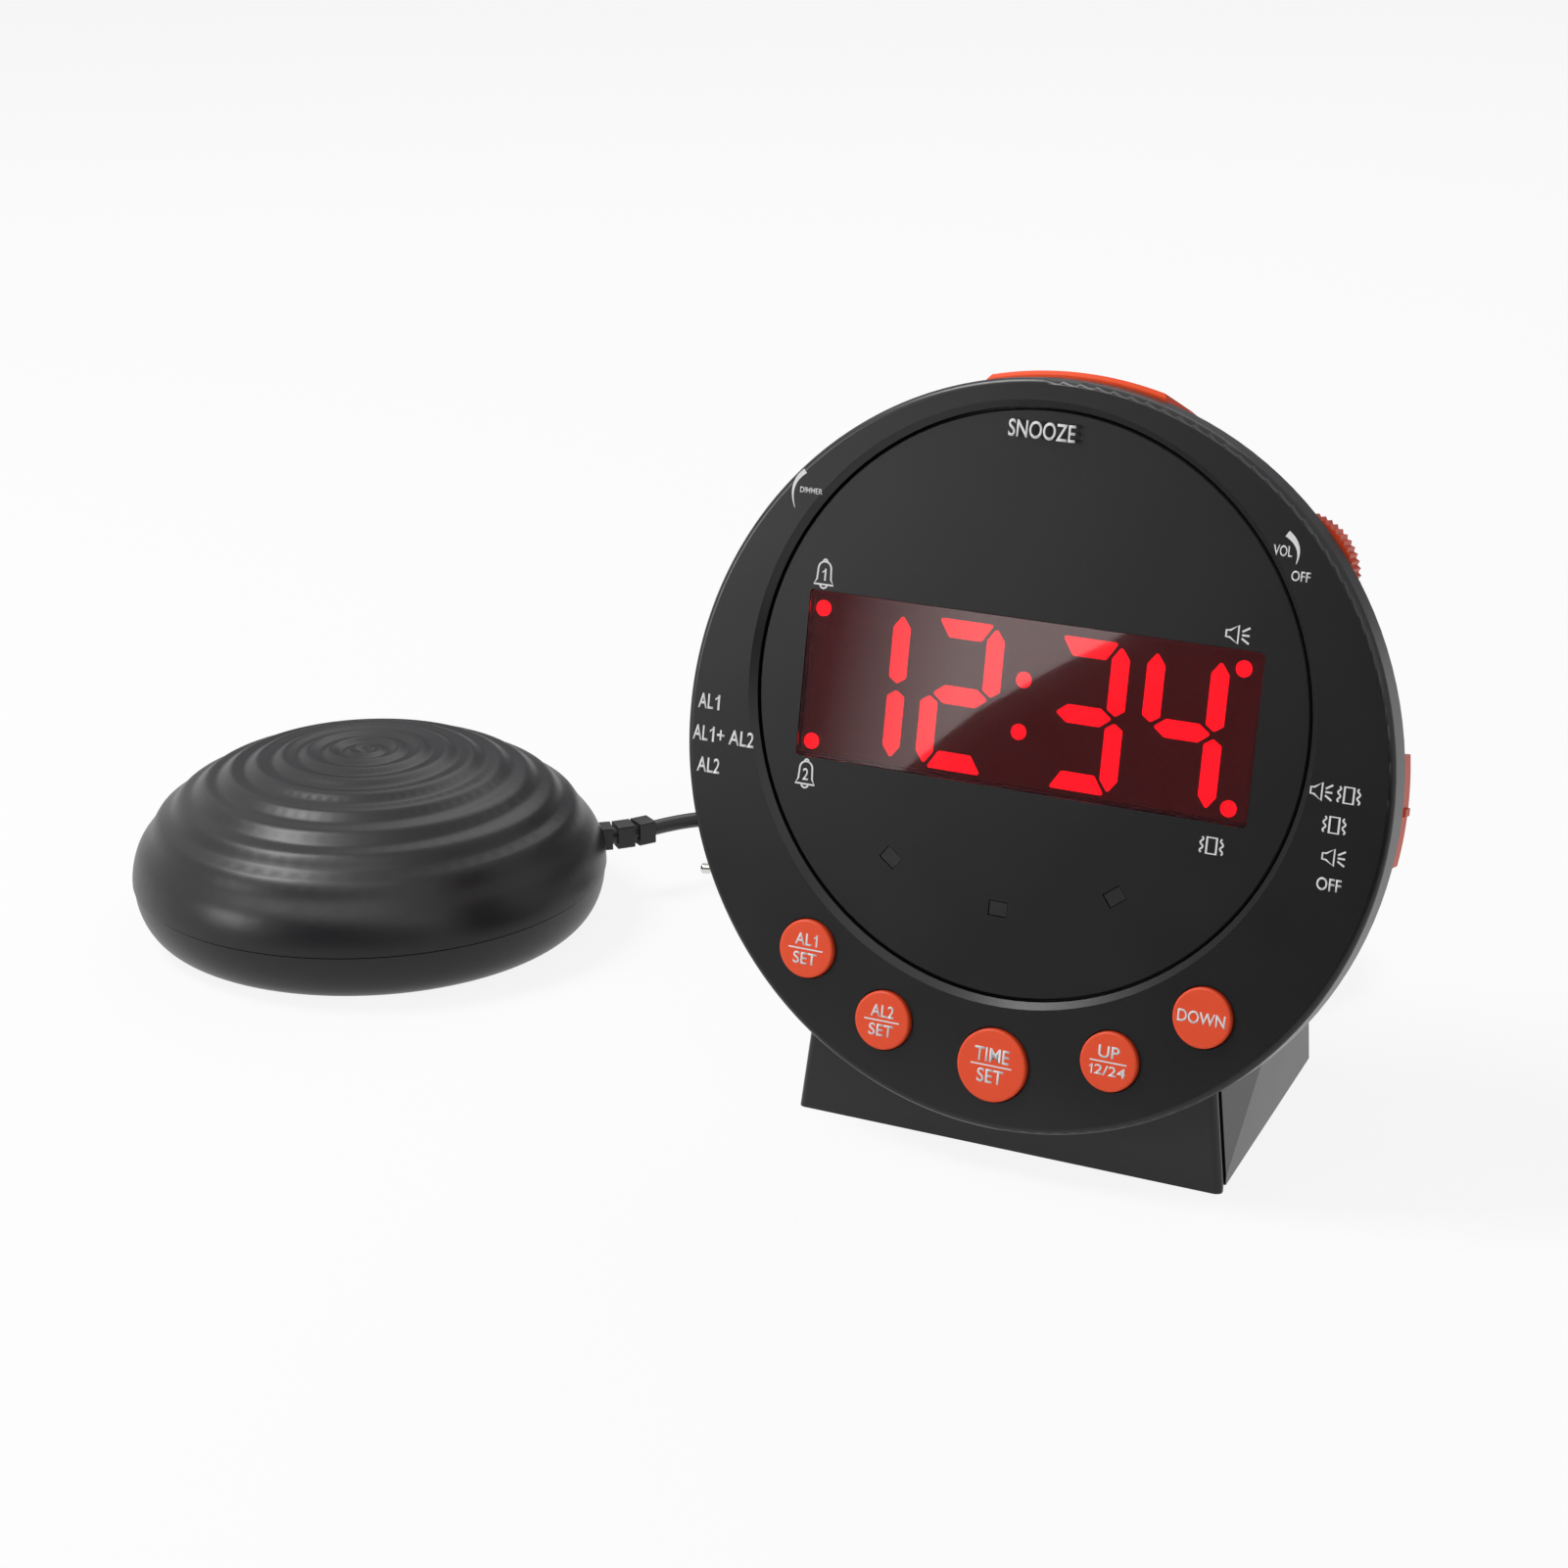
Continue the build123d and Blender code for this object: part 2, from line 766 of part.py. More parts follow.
def side_switch(middle):
    radius = side_switch_radius - side_switch_size / 2
    front = board_depth - side_switch_height
    return block(side_switch_size, side_switch_length, front, board_depth, polar(radius, middle), middle)


# Clock head: snooze bar
def snooze_outline(grow):
    """The bar's end view: straight sides with bevelled upper corners."""
    half = snooze_width / 2 + grow
    top = snooze_front_radius * cos(radians(arc_angle(snooze_width / 2, snooze_front_radius)))
    low = board_top / 2
    points = [
        (-half, low),
        (half, low),
        (half, top - snooze_bevel_drop + grow),
        (half - snooze_bevel, top - snooze_bevel_drop + snooze_bevel_height + grow),
        (snooze_bevel - half, top - snooze_bevel_drop + snooze_bevel_height + grow),
        (-half, top - snooze_bevel_drop + grow),
    ]
    return make_face(Polyline(*points, close=True))


def snooze_bar():
    front = rim_depth + running_gap
    back = snooze_back_depth
    skirt_front = housing_radius(front) - housing_wall - snooze_skirt
    skirt_back = housing_radius(back) - housing_wall - snooze_skirt
    profile = [
        (skirt_front, front),
        (snooze_front_radius - snooze_edge / 2, front),
        (snooze_front_radius, front + snooze_edge / 2),
        (snooze_back_radius, back - snooze_edge),
        (snooze_back_radius - snooze_edge, back),
        (skirt_back, back),
    ]
    bar = turned(profile) & plate(snooze_outline(0), front, back)
    hollow = [
        (0, front + snooze_wall),
        (snooze_front_radius - snooze_wall, front + snooze_wall),
        (snooze_back_radius - snooze_wall, back - snooze_wall),
        (0, back - snooze_wall),
    ]
    inside = snooze_width - 2 * snooze_wall - snooze_bevel
    above = (0, head_radius + board_top / 2)  # middle of a tall block that starts half way up the board
    bar -= turned(hollow) & block(inside, 2 * head_radius, 0, housing_depth, above)
    stem_top = snooze_front_radius - 2 * snooze_wall
    stem_end = board_top + plunger_height + running_gap + snooze_travel
    stem_middle = (0, (stem_top + stem_end) / 2)
    depth = snooze_switch_depth + plunger_radius - snooze_stem / 2
    reach = depth - front
    bar += block(snooze_stem, stem_top - stem_end, front, front + reach + snooze_stem, stem_middle)
    lug_width = snooze_width + 2 * snooze_skirt + 2 * running_gap
    lug_front = snooze_switch_depth
    lug_back = snooze_back_depth - snooze_wall
    lug = turned(
        [
            (housing_radius(lug_front) - housing_wall - snooze_skirt - running_gap, lug_front),
            (housing_radius(lug_front) - housing_wall - running_gap, lug_front),
            (housing_radius(lug_back) - housing_wall - running_gap, lug_back),
            (housing_radius(lug_back) - housing_wall - snooze_skirt - running_gap, lug_back),
        ]
    )
    lug &= block(lug_width, 2 * head_radius, 0, housing_depth, above)
    lug -= block(inside, 2 * head_radius, 0, housing_depth, above)
    return bar + lug


def snooze_cut():
    return plate(snooze_outline(running_gap), rim_depth, snooze_back_depth + running_gap)


def snooze_switch():
    """A switch on its side at the board's top edge, under the bar's stem."""
    place = (0, board_top - switch_size / 2)
    body = block(switch_size, switch_size, snooze_switch_depth, board_depth, place)
    pin = Rot(-90, 0, 0) * Cylinder(plunger_radius, plunger_height, align=BOTTOM)
    return body + Pos(0, board_top, -(board_depth - switch_height / 2)) * pin


# Clock head: housing
def housing_solid(grow=0.0):
    """The outer form of the housing, grown evenly for what fits round it."""
    return turned(
        [
            (0, rim_depth - grow),
            (housing_radius(rim_depth - grow) + grow, rim_depth - grow),
            (housing_back_radius + grow, housing_corner_depth),
            (housing_back_radius - housing_bevel + grow, housing_depth + grow),
            (0, housing_depth + grow),
        ]
    )


def rear_housing():
    shell = housing_solid()
    shell -= turned(
        [
            (0, rim_depth - overrun),
            (housing_front_radius - housing_wall, rim_depth - overrun),
            (housing_front_radius - housing_wall, rim_depth),
            (housing_radius(back_wall_depth) - housing_wall, back_wall_depth),
            (0, back_wall_depth),
        ]
    )
    shell += turned(
        [
            (lip_radius - lip_wall, lip_depth),
            (lip_radius, lip_depth),
            (lip_radius, rim_depth),
            (lip_radius - lip_wall, rim_depth + lip_wall),
        ]
    )
    bay_width, bay_height, bay_depth = bay_size()
    bay_outer_width = bay_width + 2 * bay_wall
    bay_outer_height = bay_height + 2 * bay_wall
    for place in case_boss_places:
        shell += disc(tube_radius, board_back, housing_depth, place) & housing_solid()
    for side in (1, -1):
        boss = Cylinder(boss_radius, stand_boss_length, align=BOTTOM)
        shell += stand_screw_axis(side, stand_screw_top()) * boss & housing_solid()
    shell += block(bay_outer_width, bay_outer_height, bay_depth - bay_wall, back_wall_depth, (0, bay_rise))
    shell -= block(bay_width, bay_height, bay_depth, housing_depth + overrun, (0, bay_rise))
    door_width, door_height = door_size()
    gap = 2 * running_gap
    door_front = housing_depth - door_thickness - running_gap
    shell -= block(door_width + gap, door_height + gap, door_front, housing_depth + overrun, (0, bay_rise))
    shell -= door_pin(shaft_gap)
    for place in case_boss_places:
        shell -= disc(screw_radius + screw_clearance, 0, housing_depth + overrun, place)
        shell -= disc(screw_head_radius + running_gap, case_screw_seat, housing_depth + overrun, place)
    for side in (1, -1):
        pilot = Cylinder(screw_radius + pilot_gap, stand_screw_length + pilot_gap, align=BOTTOM)
        shell -= stand_screw_axis(side, stand_screw_seat()) * pilot
    for place in wheel_places:
        front = wheel_depth - running_gap
        back = wheel_depth + wheel_thickness + running_gap
        shell -= disc(wheel_radius + 2 * running_gap, front, back, place)
    shell -= slider_cut(0, -mode_turn())
    shell -= slider_cut(alarm_side, alarm_turn())
    shell -= snooze_cut()
    for place in grille_places():
        shell -= disc(grille_hole_radius, 0, housing_depth + overrun, place)
    for side, radius in ((1, power_collar_radius), (-1, jack_collar_radius)):
        place = (side * socket_side, socket_rise)
        shell -= disc(radius + fixed_gap, back_wall_depth - overrun, housing_depth + overrun, place)
    return shell


def mode_turn():
    return mode_pitch * (mode_positions - 1)


def alarm_turn():
    return alarm_pitch * (alarm_positions - 1)


def grille_places():
    """Rings of holes round a middle hole, six more in each ring."""
    places = [(0, speaker_rise)]
    for ring in range(1, grille_rings + 1):
        count = 6 * ring
        for step in range(count):
            places.append(polar(ring * grille_pitch, 360 * step / count, (0, speaker_rise)))
    return places


def speaker():
    front = back_wall_depth - speaker_depth
    outline = [
        (0, front),
        (speaker_magnet_radius, front),
        (speaker_magnet_radius, front + speaker_magnet_height),
        (speaker_radius - speaker_flange, back_wall_depth - speaker_flange),
        (speaker_radius, back_wall_depth - speaker_flange),
        (speaker_radius, back_wall_depth),
        (speaker_radius - 2 * speaker_flange, back_wall_depth),
        (speaker_radius - 3 * speaker_flange, back_wall_depth - speaker_flange),
        (0, back_wall_depth - 2 * speaker_flange),
    ]
    return Pos(0, speaker_rise, 0) * turned(outline)


def dc_jack():
    place = (socket_side, socket_rise)
    mouth = housing_depth + collar_proud
    socket = block(power_body, power_body, back_wall_depth - power_body_length, back_wall_depth, place)
    socket += disc(power_collar_radius, back_wall_depth, mouth, place)
    socket -= disc(power_bore_radius, mouth - power_bore_length, mouth + overrun, place)
    pin_end = housing_depth - collar_proud
    return socket + disc(power_pin_radius, mouth - power_bore_length, pin_end, place)


def shaker_jack():
    place = (-socket_side, socket_rise)
    mouth = housing_depth + collar_proud
    socket = block(jack_body, jack_body, back_wall_depth - jack_body_length, back_wall_depth, place)
    socket += disc(jack_collar_radius, back_wall_depth, mouth, place)
    return socket - disc(jack_bore_radius, mouth - jack_bore_length, mouth + overrun, place)


def case_screws():
    return group(
        Pos(x, y, -case_screw_seat) * Rot(180, 0, 0) * screw(case_screw_seat - case_screw_end - pilot_gap)
        for x, y in case_boss_places
    )


# Clock head: battery bay
def bay_size():
    """Width, height and front depth of the space for two cells."""
    width = cell_length + cell_nub_length + 2 * (contact_thickness + contact_spring_length)
    height = 4 * cell_radius + 3 * cell_gap
    depth = housing_depth - door_thickness - running_gap - 2 * cell_radius
    return width, height, depth


def door_size():
    width, height, depth = bay_size()
    return width + 2 * door_overlap, height + 2 * door_overlap


def cell_rows():
    offset = cell_radius + cell_gap / 2
    return ((bay_rise + offset, 1), (bay_rise - offset, -1))


def battery_cells():
    """Two cells side by side, one each way round."""
    width, height, depth = bay_size()
    cells = []
    for rise, way in cell_rows():
        start = -width / 2 + contact_thickness + contact_spring_length
        body = Cylinder(cell_radius, cell_length, align=BOTTOM)
        body = fillet(body.edges(), cell_gap)
        body += Pos(0, 0, cell_length) * Cylinder(cell_nub_radius, cell_nub_length, align=BOTTOM)
        cell = Rot(0, 90, 0) * body
        cell = Pos(start, 0, 0) * cell
        if way < 0:
            cell = Rot(0, 0, 180) * cell
        cells.append(Pos(0, rise, -(depth + cell_radius)) * cell)
    return group(cells)


def battery_contacts():
    """A plate with a raised spot at each end of each cell."""
    width, height, depth = bay_size()
    contacts = []
    for rise, way in cell_rows():
        for side in (1, -1):
            leaf = Pos(contact_thickness / 2, 0, 0) * Box(contact_thickness, contact_width, contact_width)
            reach = contact_thickness + contact_spring_length
            spot = Rot(0, 90, 0) * Cylinder(contact_spring_radius, reach, align=BOTTOM)
            contact = Pos(-width / 2, 0, 0) * (leaf + spot)
            if side > 0:
                contact = Rot(0, 0, 180) * contact
            contacts.append(Pos(0, rise, -(depth + cell_radius)) * contact)
    return group(contacts)


def battery_door():
    """A lid that turns on its rounded lower edge."""
    width, height = door_size()
    low = bay_rise - height / 2
    round_radius = door_thickness / 2
    front = housing_depth - door_thickness
    lid = block(width, height - round_radius, front, housing_depth, (0, bay_rise + round_radius / 2))
    edge = Rot(0, 90, 0) * Cylinder(round_radius, width)
    lid += Pos(0, low + round_radius, round_radius - housing_depth) * edge + door_pin(0)
    notch_place = (0, bay_rise + height / 2 - door_notch_height)
    notch_floor = housing_depth - door_notch_depth
    return lid - block(door_notch_width, door_notch_height, notch_floor, housing_depth + overrun, notch_place)


def door_pin(grow):
    """The pin along the door's lower edge, which the housing holds at both ends."""
    width, height = door_size()
    reach = width + 2 * (door_pin_length + running_gap + grow)
    pin = Rot(0, 90, 0) * Cylinder(door_pin_radius + grow, reach)
    return Pos(0, bay_rise - height / 2 + door_thickness / 2, door_thickness / 2 - housing_depth) * pin


# Stand
def stand_solid(inset=0.0, low=0.0, front_inset=0.0):
    """The wedge of the stand, drawn in by inset on its sides, back and top."""
    lean = tan(radians(stand_front_lean))
    side_lean = tan(radians(stand_side_lean))
    rear_lean = tan(radians(stand_rear_lean))
    front = -half_depth + front_inset
    back = half_depth - inset
    top = stand_height - inset
    half = stand_width / 2 - inset
    rear_half = half - stand_rear_inset
    side_view = make_face(
        Polyline(
            (0, front + low * lean, low),
            (0, back - low * rear_lean, low),
            (0, back - (stand_rear_height - inset) * rear_lean, stand_rear_height - inset),
            (0, back - stand_ridge_depth, top),
            (0, front + top * lean, top),
            close=True,
        )
    )
    end_view = make_face(
        Polyline(
            (-half + low * side_lean, 0, low),
            (half - low * side_lean, 0, low),
            (half - top * side_lean, 0, top),
            (-half + top * side_lean, 0, top),
            close=True,
        )
    )
    plan = make_face(
        Polyline(
            (-half, -half_depth),
            (half, -half_depth),
            (rear_half, half_depth),
            (-rear_half, half_depth),
            close=True,
        )
    )
    wedge = Pos(-stand_width / 2, 0, 0) * extrude(side_view, stand_width, dir=(1, 0, 0))
    wedge &= Pos(0, stand_depth, 0) * extrude(end_view, 2 * stand_depth, dir=(0, -1, 0))
    return wedge & extrude(plan, stand_height)


def stand_shell():
    """Sides, back and cradle of the stand, open below for the base."""
    face = front_plate_thickness
    spigot = stand_solid(seam_depth, stand_lift, face)
    spigot &= stand_slice(face, face + 2 * seam_width + seam_rib)
    rib = stand_solid(seam_depth / 2, stand_lift, face)
    rib &= stand_slice(face + seam_width, face + seam_width + seam_rib)
    body = stand_solid(0, stand_lift, face + 2 * seam_width + seam_rib)
    shell = body + spigot + rib
    cradle = on_head(housing_solid(cradle_gap + stand_wall))
    shell -= stand_solid(stand_wall, -overrun, stand_wall + face) - cradle
    for x, y in base_screw_places():
        post = Cylinder(base_post_radius, base_post_height, align=BOTTOM)
        shell += Pos(x, y, pad_thickness + base_thickness) * post & stand_solid(0, 0, face + stand_wall)
    for side in (1, -1):
        pad = Cylinder(boss_radius + stand_screw_pad, stand_screw_pad_length, align=BOTTOM)
        shell += on_head(stand_screw_axis(side, stand_screw_seat()) * pad)
    shell -= head_room()
    for side in (1, -1):
        hole = Cylinder(screw_radius + screw_clearance, stand_screw_length, align=BOTTOM)
        shell -= on_head(stand_screw_axis(side, stand_screw_seat()) * hole)
        recess = Cylinder(screw_head_radius + running_gap, overrun, align=BOTTOM)
        shell -= on_head(stand_screw_axis(side, stand_screw_seat() - overrun) * recess)
    pilot_end = base_screw_length + 2 * base_thickness
    for x, y in base_screw_places():
        shell -= Pos(x, y, 0) * Cylinder(screw_radius + pilot_gap, pilot_end, align=BOTTOM)
    return shell


def stand_screw_top():
    """Height along the face where the stand's screws enter the housing's skin."""
    radius = housing_radius(stand_screw_depth) + cradle_gap
    return -sqrt(radius**2 - stand_screw_side**2)


def stand_screw_seat():
    return stand_screw_top() - stand_wall - stand_screw_pad


def stand_screw_axis(side, height):
    """Where something on a stand screw's axis goes, pointing up along the face."""
    return Pos(side * stand_screw_side, height, -stand_screw_depth) * Rot(-90, 0, 0)


def head_room():
    """The space that the head needs in the stand."""
    rim = disc(head_radius + cradle_gap, -head_radius, rim_depth + cradle_gap)
    return on_head(housing_solid(cradle_gap) + rim)


def stand_slice(front, back):
    """A slab that leans with the stand's front, between two depths behind that front."""
    lean = tan(radians(stand_front_lean))
    top = stand_height + overrun
    outline = make_face(
        Polyline(
            (0, -half_depth + front, 0),
            (0, -half_depth + back, 0),
            (0, -half_depth + back + top * lean, top),
            (0, -half_depth + front + top * lean, top),
            close=True,
        )
    )
    return Pos(-stand_width / 2, 0, 0) * extrude(outline, stand_width, dir=(1, 0, 0))


def stand_front_plate():
    """The leaning front of the stand, cut to the head that it meets."""
    face = stand_solid(0, 0, 0) & stand_slice(0, front_plate_thickness)
    uprights = face.edges().filter_by(lambda edge: abs(edge.center().X) > stand_width / 4)
    uprights = uprights.filter_by(lambda edge: edge.length > stand_height / 2)
    face = fillet(uprights.sort_by(Axis.Y)[:2], plate_corner)
    return face - head_room()


def base_screw_places():
    places = []
    for x in (-1, 1):
        for y in (-1, 1):
            places.append((x * base_screw_side * base_taper(y), y * base_screw_reach))
    return places


def base_taper(side):
    """The rear screws are closer together, as the stand is narrower there."""
    narrowing = stand_rear_inset / stand_width
    return 1 - narrowing * (1 + side)


def stand_base():
    inset = stand_wall + fixed_gap
    base = stand_solid(inset, pad_thickness, front_plate_thickness + inset)
    base &= Pos(0, 0, pad_thickness) * Box(stand_width, stand_depth, base_thickness, align=BOTTOM)
    seat = pad_thickness + base_thickness - base_seat
    for x, y in base_screw_places():
        base -= Pos(x, y, 0) * Cylinder(screw_radius + screw_clearance, 2 * base_thickness, align=BOTTOM)
        base -= Pos(x, y, 0) * Cylinder(screw_head_radius + running_gap, seat, align=BOTTOM)
    return base


def base_pad():
    """The non-slip pad that the clock stands on."""
    width = stand_width - 2 * pad_side_inset
    depth = stand_depth - 2 * pad_end_inset
    return extrude(RectangleRounded(width, depth, pad_corner), pad_thickness)


def base_screws():
    seat = pad_thickness + base_thickness
    screws = []
    for x, y in base_screw_places():
        screws.append(Pos(x, y, seat - base_seat) * Rot(180, 0, 0) * screw(base_screw_length))
    return group(screws)


def stand_screws():
    """Two screws from inside the stand, up into the housing."""
    screws = []
    for side in (1, -1):
        upturned = Rot(180, 0, 0) * screw(stand_screw_length)
        screws.append(on_head(stand_screw_axis(side, stand_screw_seat()) * upturned))
    return group(screws)


# Shaker puck, drawn round its own middle
def at_shaker(shape):
    return Pos(shaker_x, shaker_y, 0) * shape


def dome_point(angle, inset=0.0, rise=0.0):
    """A point of the dome's profile: angle is 0 at the top and 90 at the seam."""
    share = sin(radians(angle))
    height = shaker_height - shaker_seam - inset
    swell = 4 * share * (1 - share) * dome_fullness * height
    return ((shaker_radius - inset) * share, 0, shaker_seam + height * cos(radians(angle)) + swell + rise)


def dome_curve(points):
    """A smooth profile that starts level at the top and ends upright at the seam."""
    return Spline(*points, tangents=((1, 0, 0), (0, 0, -1)), tangent_scalars=(1, 1))


def dome_solid(inset, floor):
    """The smooth dome, drawn in by inset and carried straight down to floor below the seam."""
    angles = [90 * step / dome_steps for step in range(dome_steps + 1)]
    points = [dome_point(angle, inset) for angle in angles]
    edge = shaker_radius - inset
    rest = Polyline(points[-1], (edge, 0, floor), (0, 0, floor), points[0])
    return revolve(make_face(dome_curve(points).edges() + rest.edges()), Axis.Z)


def rippled_dome():
    """The dome with its rings, hollow and crest in turn."""
    points = [dome_point(0, rise=-ripple_height)]
    for half in range(-1, 2 * ripples - 1):
        turn = half / 2
        angle = ripple_first + ripple_step * turn + ripple_growth * turn**2
        points.append(dome_point(angle, rise=ripple_height if half % 2 else -ripple_height))
    last = angle
    for share in skirt_shares:
        points.append(dome_point(last + (90 - last) * share))
    rest = Polyline(points[-1], (0, 0, shaker_seam), points[0])
    return revolve(make_face(dome_curve(points).edges() + rest.edges()), Axis.Z)


def relief_axis(radius):
    """Where something on the strain relief's axis goes, pointing out of the puck."""
    x, y = polar(radius, relief_angle)
    return Pos(x, y, relief_height) * Rot(0, 0, relief_angle) * Rot(0, 90, 0)


def shaker_post_places():
    return [polar(shaker_screw_circle_radius, 90 * step) for step in range(4)]


def shaker_seat():
    """Height of the puck's screws, on the bosses inside its base."""
    return shaker_foot_height + screw_head_height + fixed_gap


def shaker_top_shell():
    shell = rippled_dome() - dome_solid(shaker_dome_wall, shaker_seam - overrun)
    boss_top = shaker_seat() + shaker_boss_floor
    pilot_end = shaker_seat() + shaker_screw_length + pilot_gap
    for x, y in shaker_post_places():
        post = Pos(x, y, boss_top) * Cylinder(shaker_post_radius, shaker_height, align=BOTTOM)
        post &= dome_solid(shaker_dome_wall / 2, boss_top)
        shell += post - Pos(x, y, 0) * Cylinder(screw_radius + pilot_gap, pilot_end, align=BOTTOM)
    hole = Cylinder(relief_core_radius + fixed_gap, shaker_radius, align=BOTTOM)
    return at_shaker(shell - relief_axis(shaker_radius / 2) * hole)


def bowl(foot, edge, floor, top):
    """A round dish that is flat out to the radius foot and stands upright at its edge."""
    turns = [radians(90 * step / bowl_steps) for step in range(bowl_steps + 1)]
    points = [(foot + (edge - foot) * sin(turn), 0, top - (top - floor) * cos(turn)) for turn in turns]
    side = Spline(*points, tangents=((1, 0, 0), (0, 0, 1)), tangent_scalars=(1, 1))
    rest = Polyline((edge, 0, top), (0, 0, top), (0, 0, floor), (foot, 0, floor))
    return revolve(make_face(side.edges() + rest.edges()), Axis.Z)


def shaker_bottom_shell():
    top = shaker_seam - shaker_groove
    edge = shaker_radius - shaker_groove
    base = shaker_foot_height
    solid = bowl(shaker_bottom_radius, edge, base, top)
    lip_edge = shaker_radius - shaker_dome_wall - fixed_gap
    hollow_edge = lip_edge - shaker_lip_wall / 2
    solid -= bowl(shaker_bottom_radius - shaker_bottom_wall, hollow_edge, base + shaker_bottom_wall, top)
    lip_height = shaker_groove + 2 * shaker_lip_height
    lip = Pos(0, 0, top - shaker_lip_height) * Cylinder(edge, lip_height, align=BOTTOM)
    lip &= dome_solid(shaker_dome_wall + fixed_gap, base)
    lip -= Cylinder(lip_edge - shaker_lip_wall, shaker_height, align=BOTTOM)
    flange_room = Cylinder(relief_flange_radius + fixed_gap, shaker_radius, align=BOTTOM)
    lip -= relief_axis(shaker_radius / 2) * flange_room
    solid += lip
    boss_height = shaker_seat() + shaker_boss_floor - base
    for x, y in shaker_post_places():
        solid += Pos(x, y, base) * Cylinder(screw_head_radius + shaker_bottom_wall, boss_height, align=BOTTOM)
    cradle = Box(2 * (motor_radius + cradle_wall), cradle_length, motor_height - base, align=BOTTOM)
    solid += Pos(0, motor_middle(), base) * cradle
    for x, y in clamp_screw_places():
        solid += Pos(x, y, base) * Cylinder(shaker_post_radius, motor_height - base, align=BOTTOM)
    for x, y in shaker_post_places():
        solid -= Pos(x, y, 0) * Cylinder(screw_head_radius + running_gap, shaker_seat(), align=BOTTOM)
        solid -= Pos(x, y, 0) * Cylinder(screw_radius + screw_clearance, shaker_height, align=BOTTOM)
    pilot_end = motor_height + clamp_thickness - clamp_screw_length - pilot_gap
    for x, y in clamp_screw_places():
        solid -= Pos(x, y, pilot_end) * Cylinder(screw_radius + pilot_gap, shaker_height, align=BOTTOM)
    solid -= along_motor(motor_radius + fixed_gap, motor_length + 2 * overrun, motor_back + overrun)
    return at_shaker(solid)


def shaker_feet():
    foot = Cylinder(shaker_foot_radius, shaker_foot_height, align=BOTTOM)
    return group(
        at_shaker(Pos(*polar(shaker_foot_circle_radius, 90 * step + 45), 0) * foot) for step in range(4)
    )


def shaker_screws():
    return group(
        at_shaker(Pos(x, y, shaker_seat()) * Rot(180, 0, 0) * screw(shaker_screw_length))
        for x, y in shaker_post_places()
    )


# Shaker motor
def along_motor(radius, length, back):
    """A cylinder on the motor's axis, from back towards the front."""
    return Pos(0, back, motor_height) * Rot(90, 0, 0) * Cylinder(radius, length, align=BOTTOM)


def motor_middle():
    return motor_back - motor_length / 2


def motor_nose():
    return motor_back - motor_length - motor_nose_length


def shaker_motor():
    motor = along_motor(motor_radius, motor_length, motor_back)
    motor = fillet(motor.edges(), motor_edge)
    nose_length = motor_nose_length + overrun
    motor += along_motor(motor_nose_radius, nose_length, motor_nose() + nose_length)
    bore_start = motor_nose() + motor_shaft_inside + running_gap
    return at_shaker(motor - along_motor(motor_shaft_radius + shaft_gap, motor_length, bore_start))


def motor_shaft():
    length = motor_shaft_inside + motor_shaft_length
    return at_shaker(along_motor(motor_shaft_radius, length, motor_nose() + motor_shaft_inside))


def eccentric_weight():
    """Half a disc that hangs from the shaft."""
    front = motor_nose() - motor_shaft_length + weight_setback
    half = along_motor(weight_radius, weight_thickness, front + weight_thickness)
    lower = Box(2 * weight_radius, 2 * shaker_radius, 2 * weight_radius, align=BOTTOM)
    half &= Pos(0, 0, motor_height - 2 * weight_radius) * lower
    hub = along_motor(weight_hub_radius, weight_thickness, front + weight_thickness)
    return at_shaker(half + hub - along_motor(motor_shaft_radius, motor_length, front + motor_length))


def clamp_screw_places():
    reach = motor_radius + fixed_gap + clamp_thickness + clamp_ear / 2
    return [(side * reach, motor_middle()) for side in (1, -1)]


def motor_clamp():
    """A strap over the motor with an ear at each side."""
    middle = motor_middle()
    outer = motor_radius + fixed_gap + clamp_thickness
    strap = along_motor(outer, clamp_width, middle + clamp_width / 2)
    strap &= Pos(0, middle, motor_height) * Box(2 * outer, clamp_width, outer, align=BOTTOM)
    reach = outer + clamp_ear
    strap += Pos(0, middle, motor_height) * Box(2 * reach, clamp_width, clamp_thickness, align=BOTTOM)
    strap -= along_motor(motor_radius + fixed_gap, motor_length + overrun, motor_back + overrun)
    for x, y in clamp_screw_places():
        strap -= Pos(x, y, 0) * Cylinder(screw_radius + screw_clearance, shaker_height, align=BOTTOM)
    return at_shaker(strap)


def clamp_screws():
    return group(
        at_shaker(Pos(x, y, motor_height + clamp_thickness) * screw(clamp_screw_length))
        for x, y in clamp_screw_places()
    )


# Strain relief
def relief_start():
    """Radius at which the strain relief leaves the puck's skin."""
    return shaker_radius * sqrt(1 - ((relief_height - shaker_seam) / (shaker_height - shaker_seam)) ** 2)


def relief_place(share):
    """Point and heading on the strain relief's bend, share 0 at the puck and 1 at the cord."""
    bend = relief_length / radians(relief_bend)
    x, y = polar(relief_start(), relief_angle)
    heading = relief_angle + share * relief_bend
    x += bend * (sin(radians(heading)) - sin(radians(relief_angle)))
    y += bend * (cos(radians(relief_angle)) - cos(radians(heading)))
    return x, y, heading


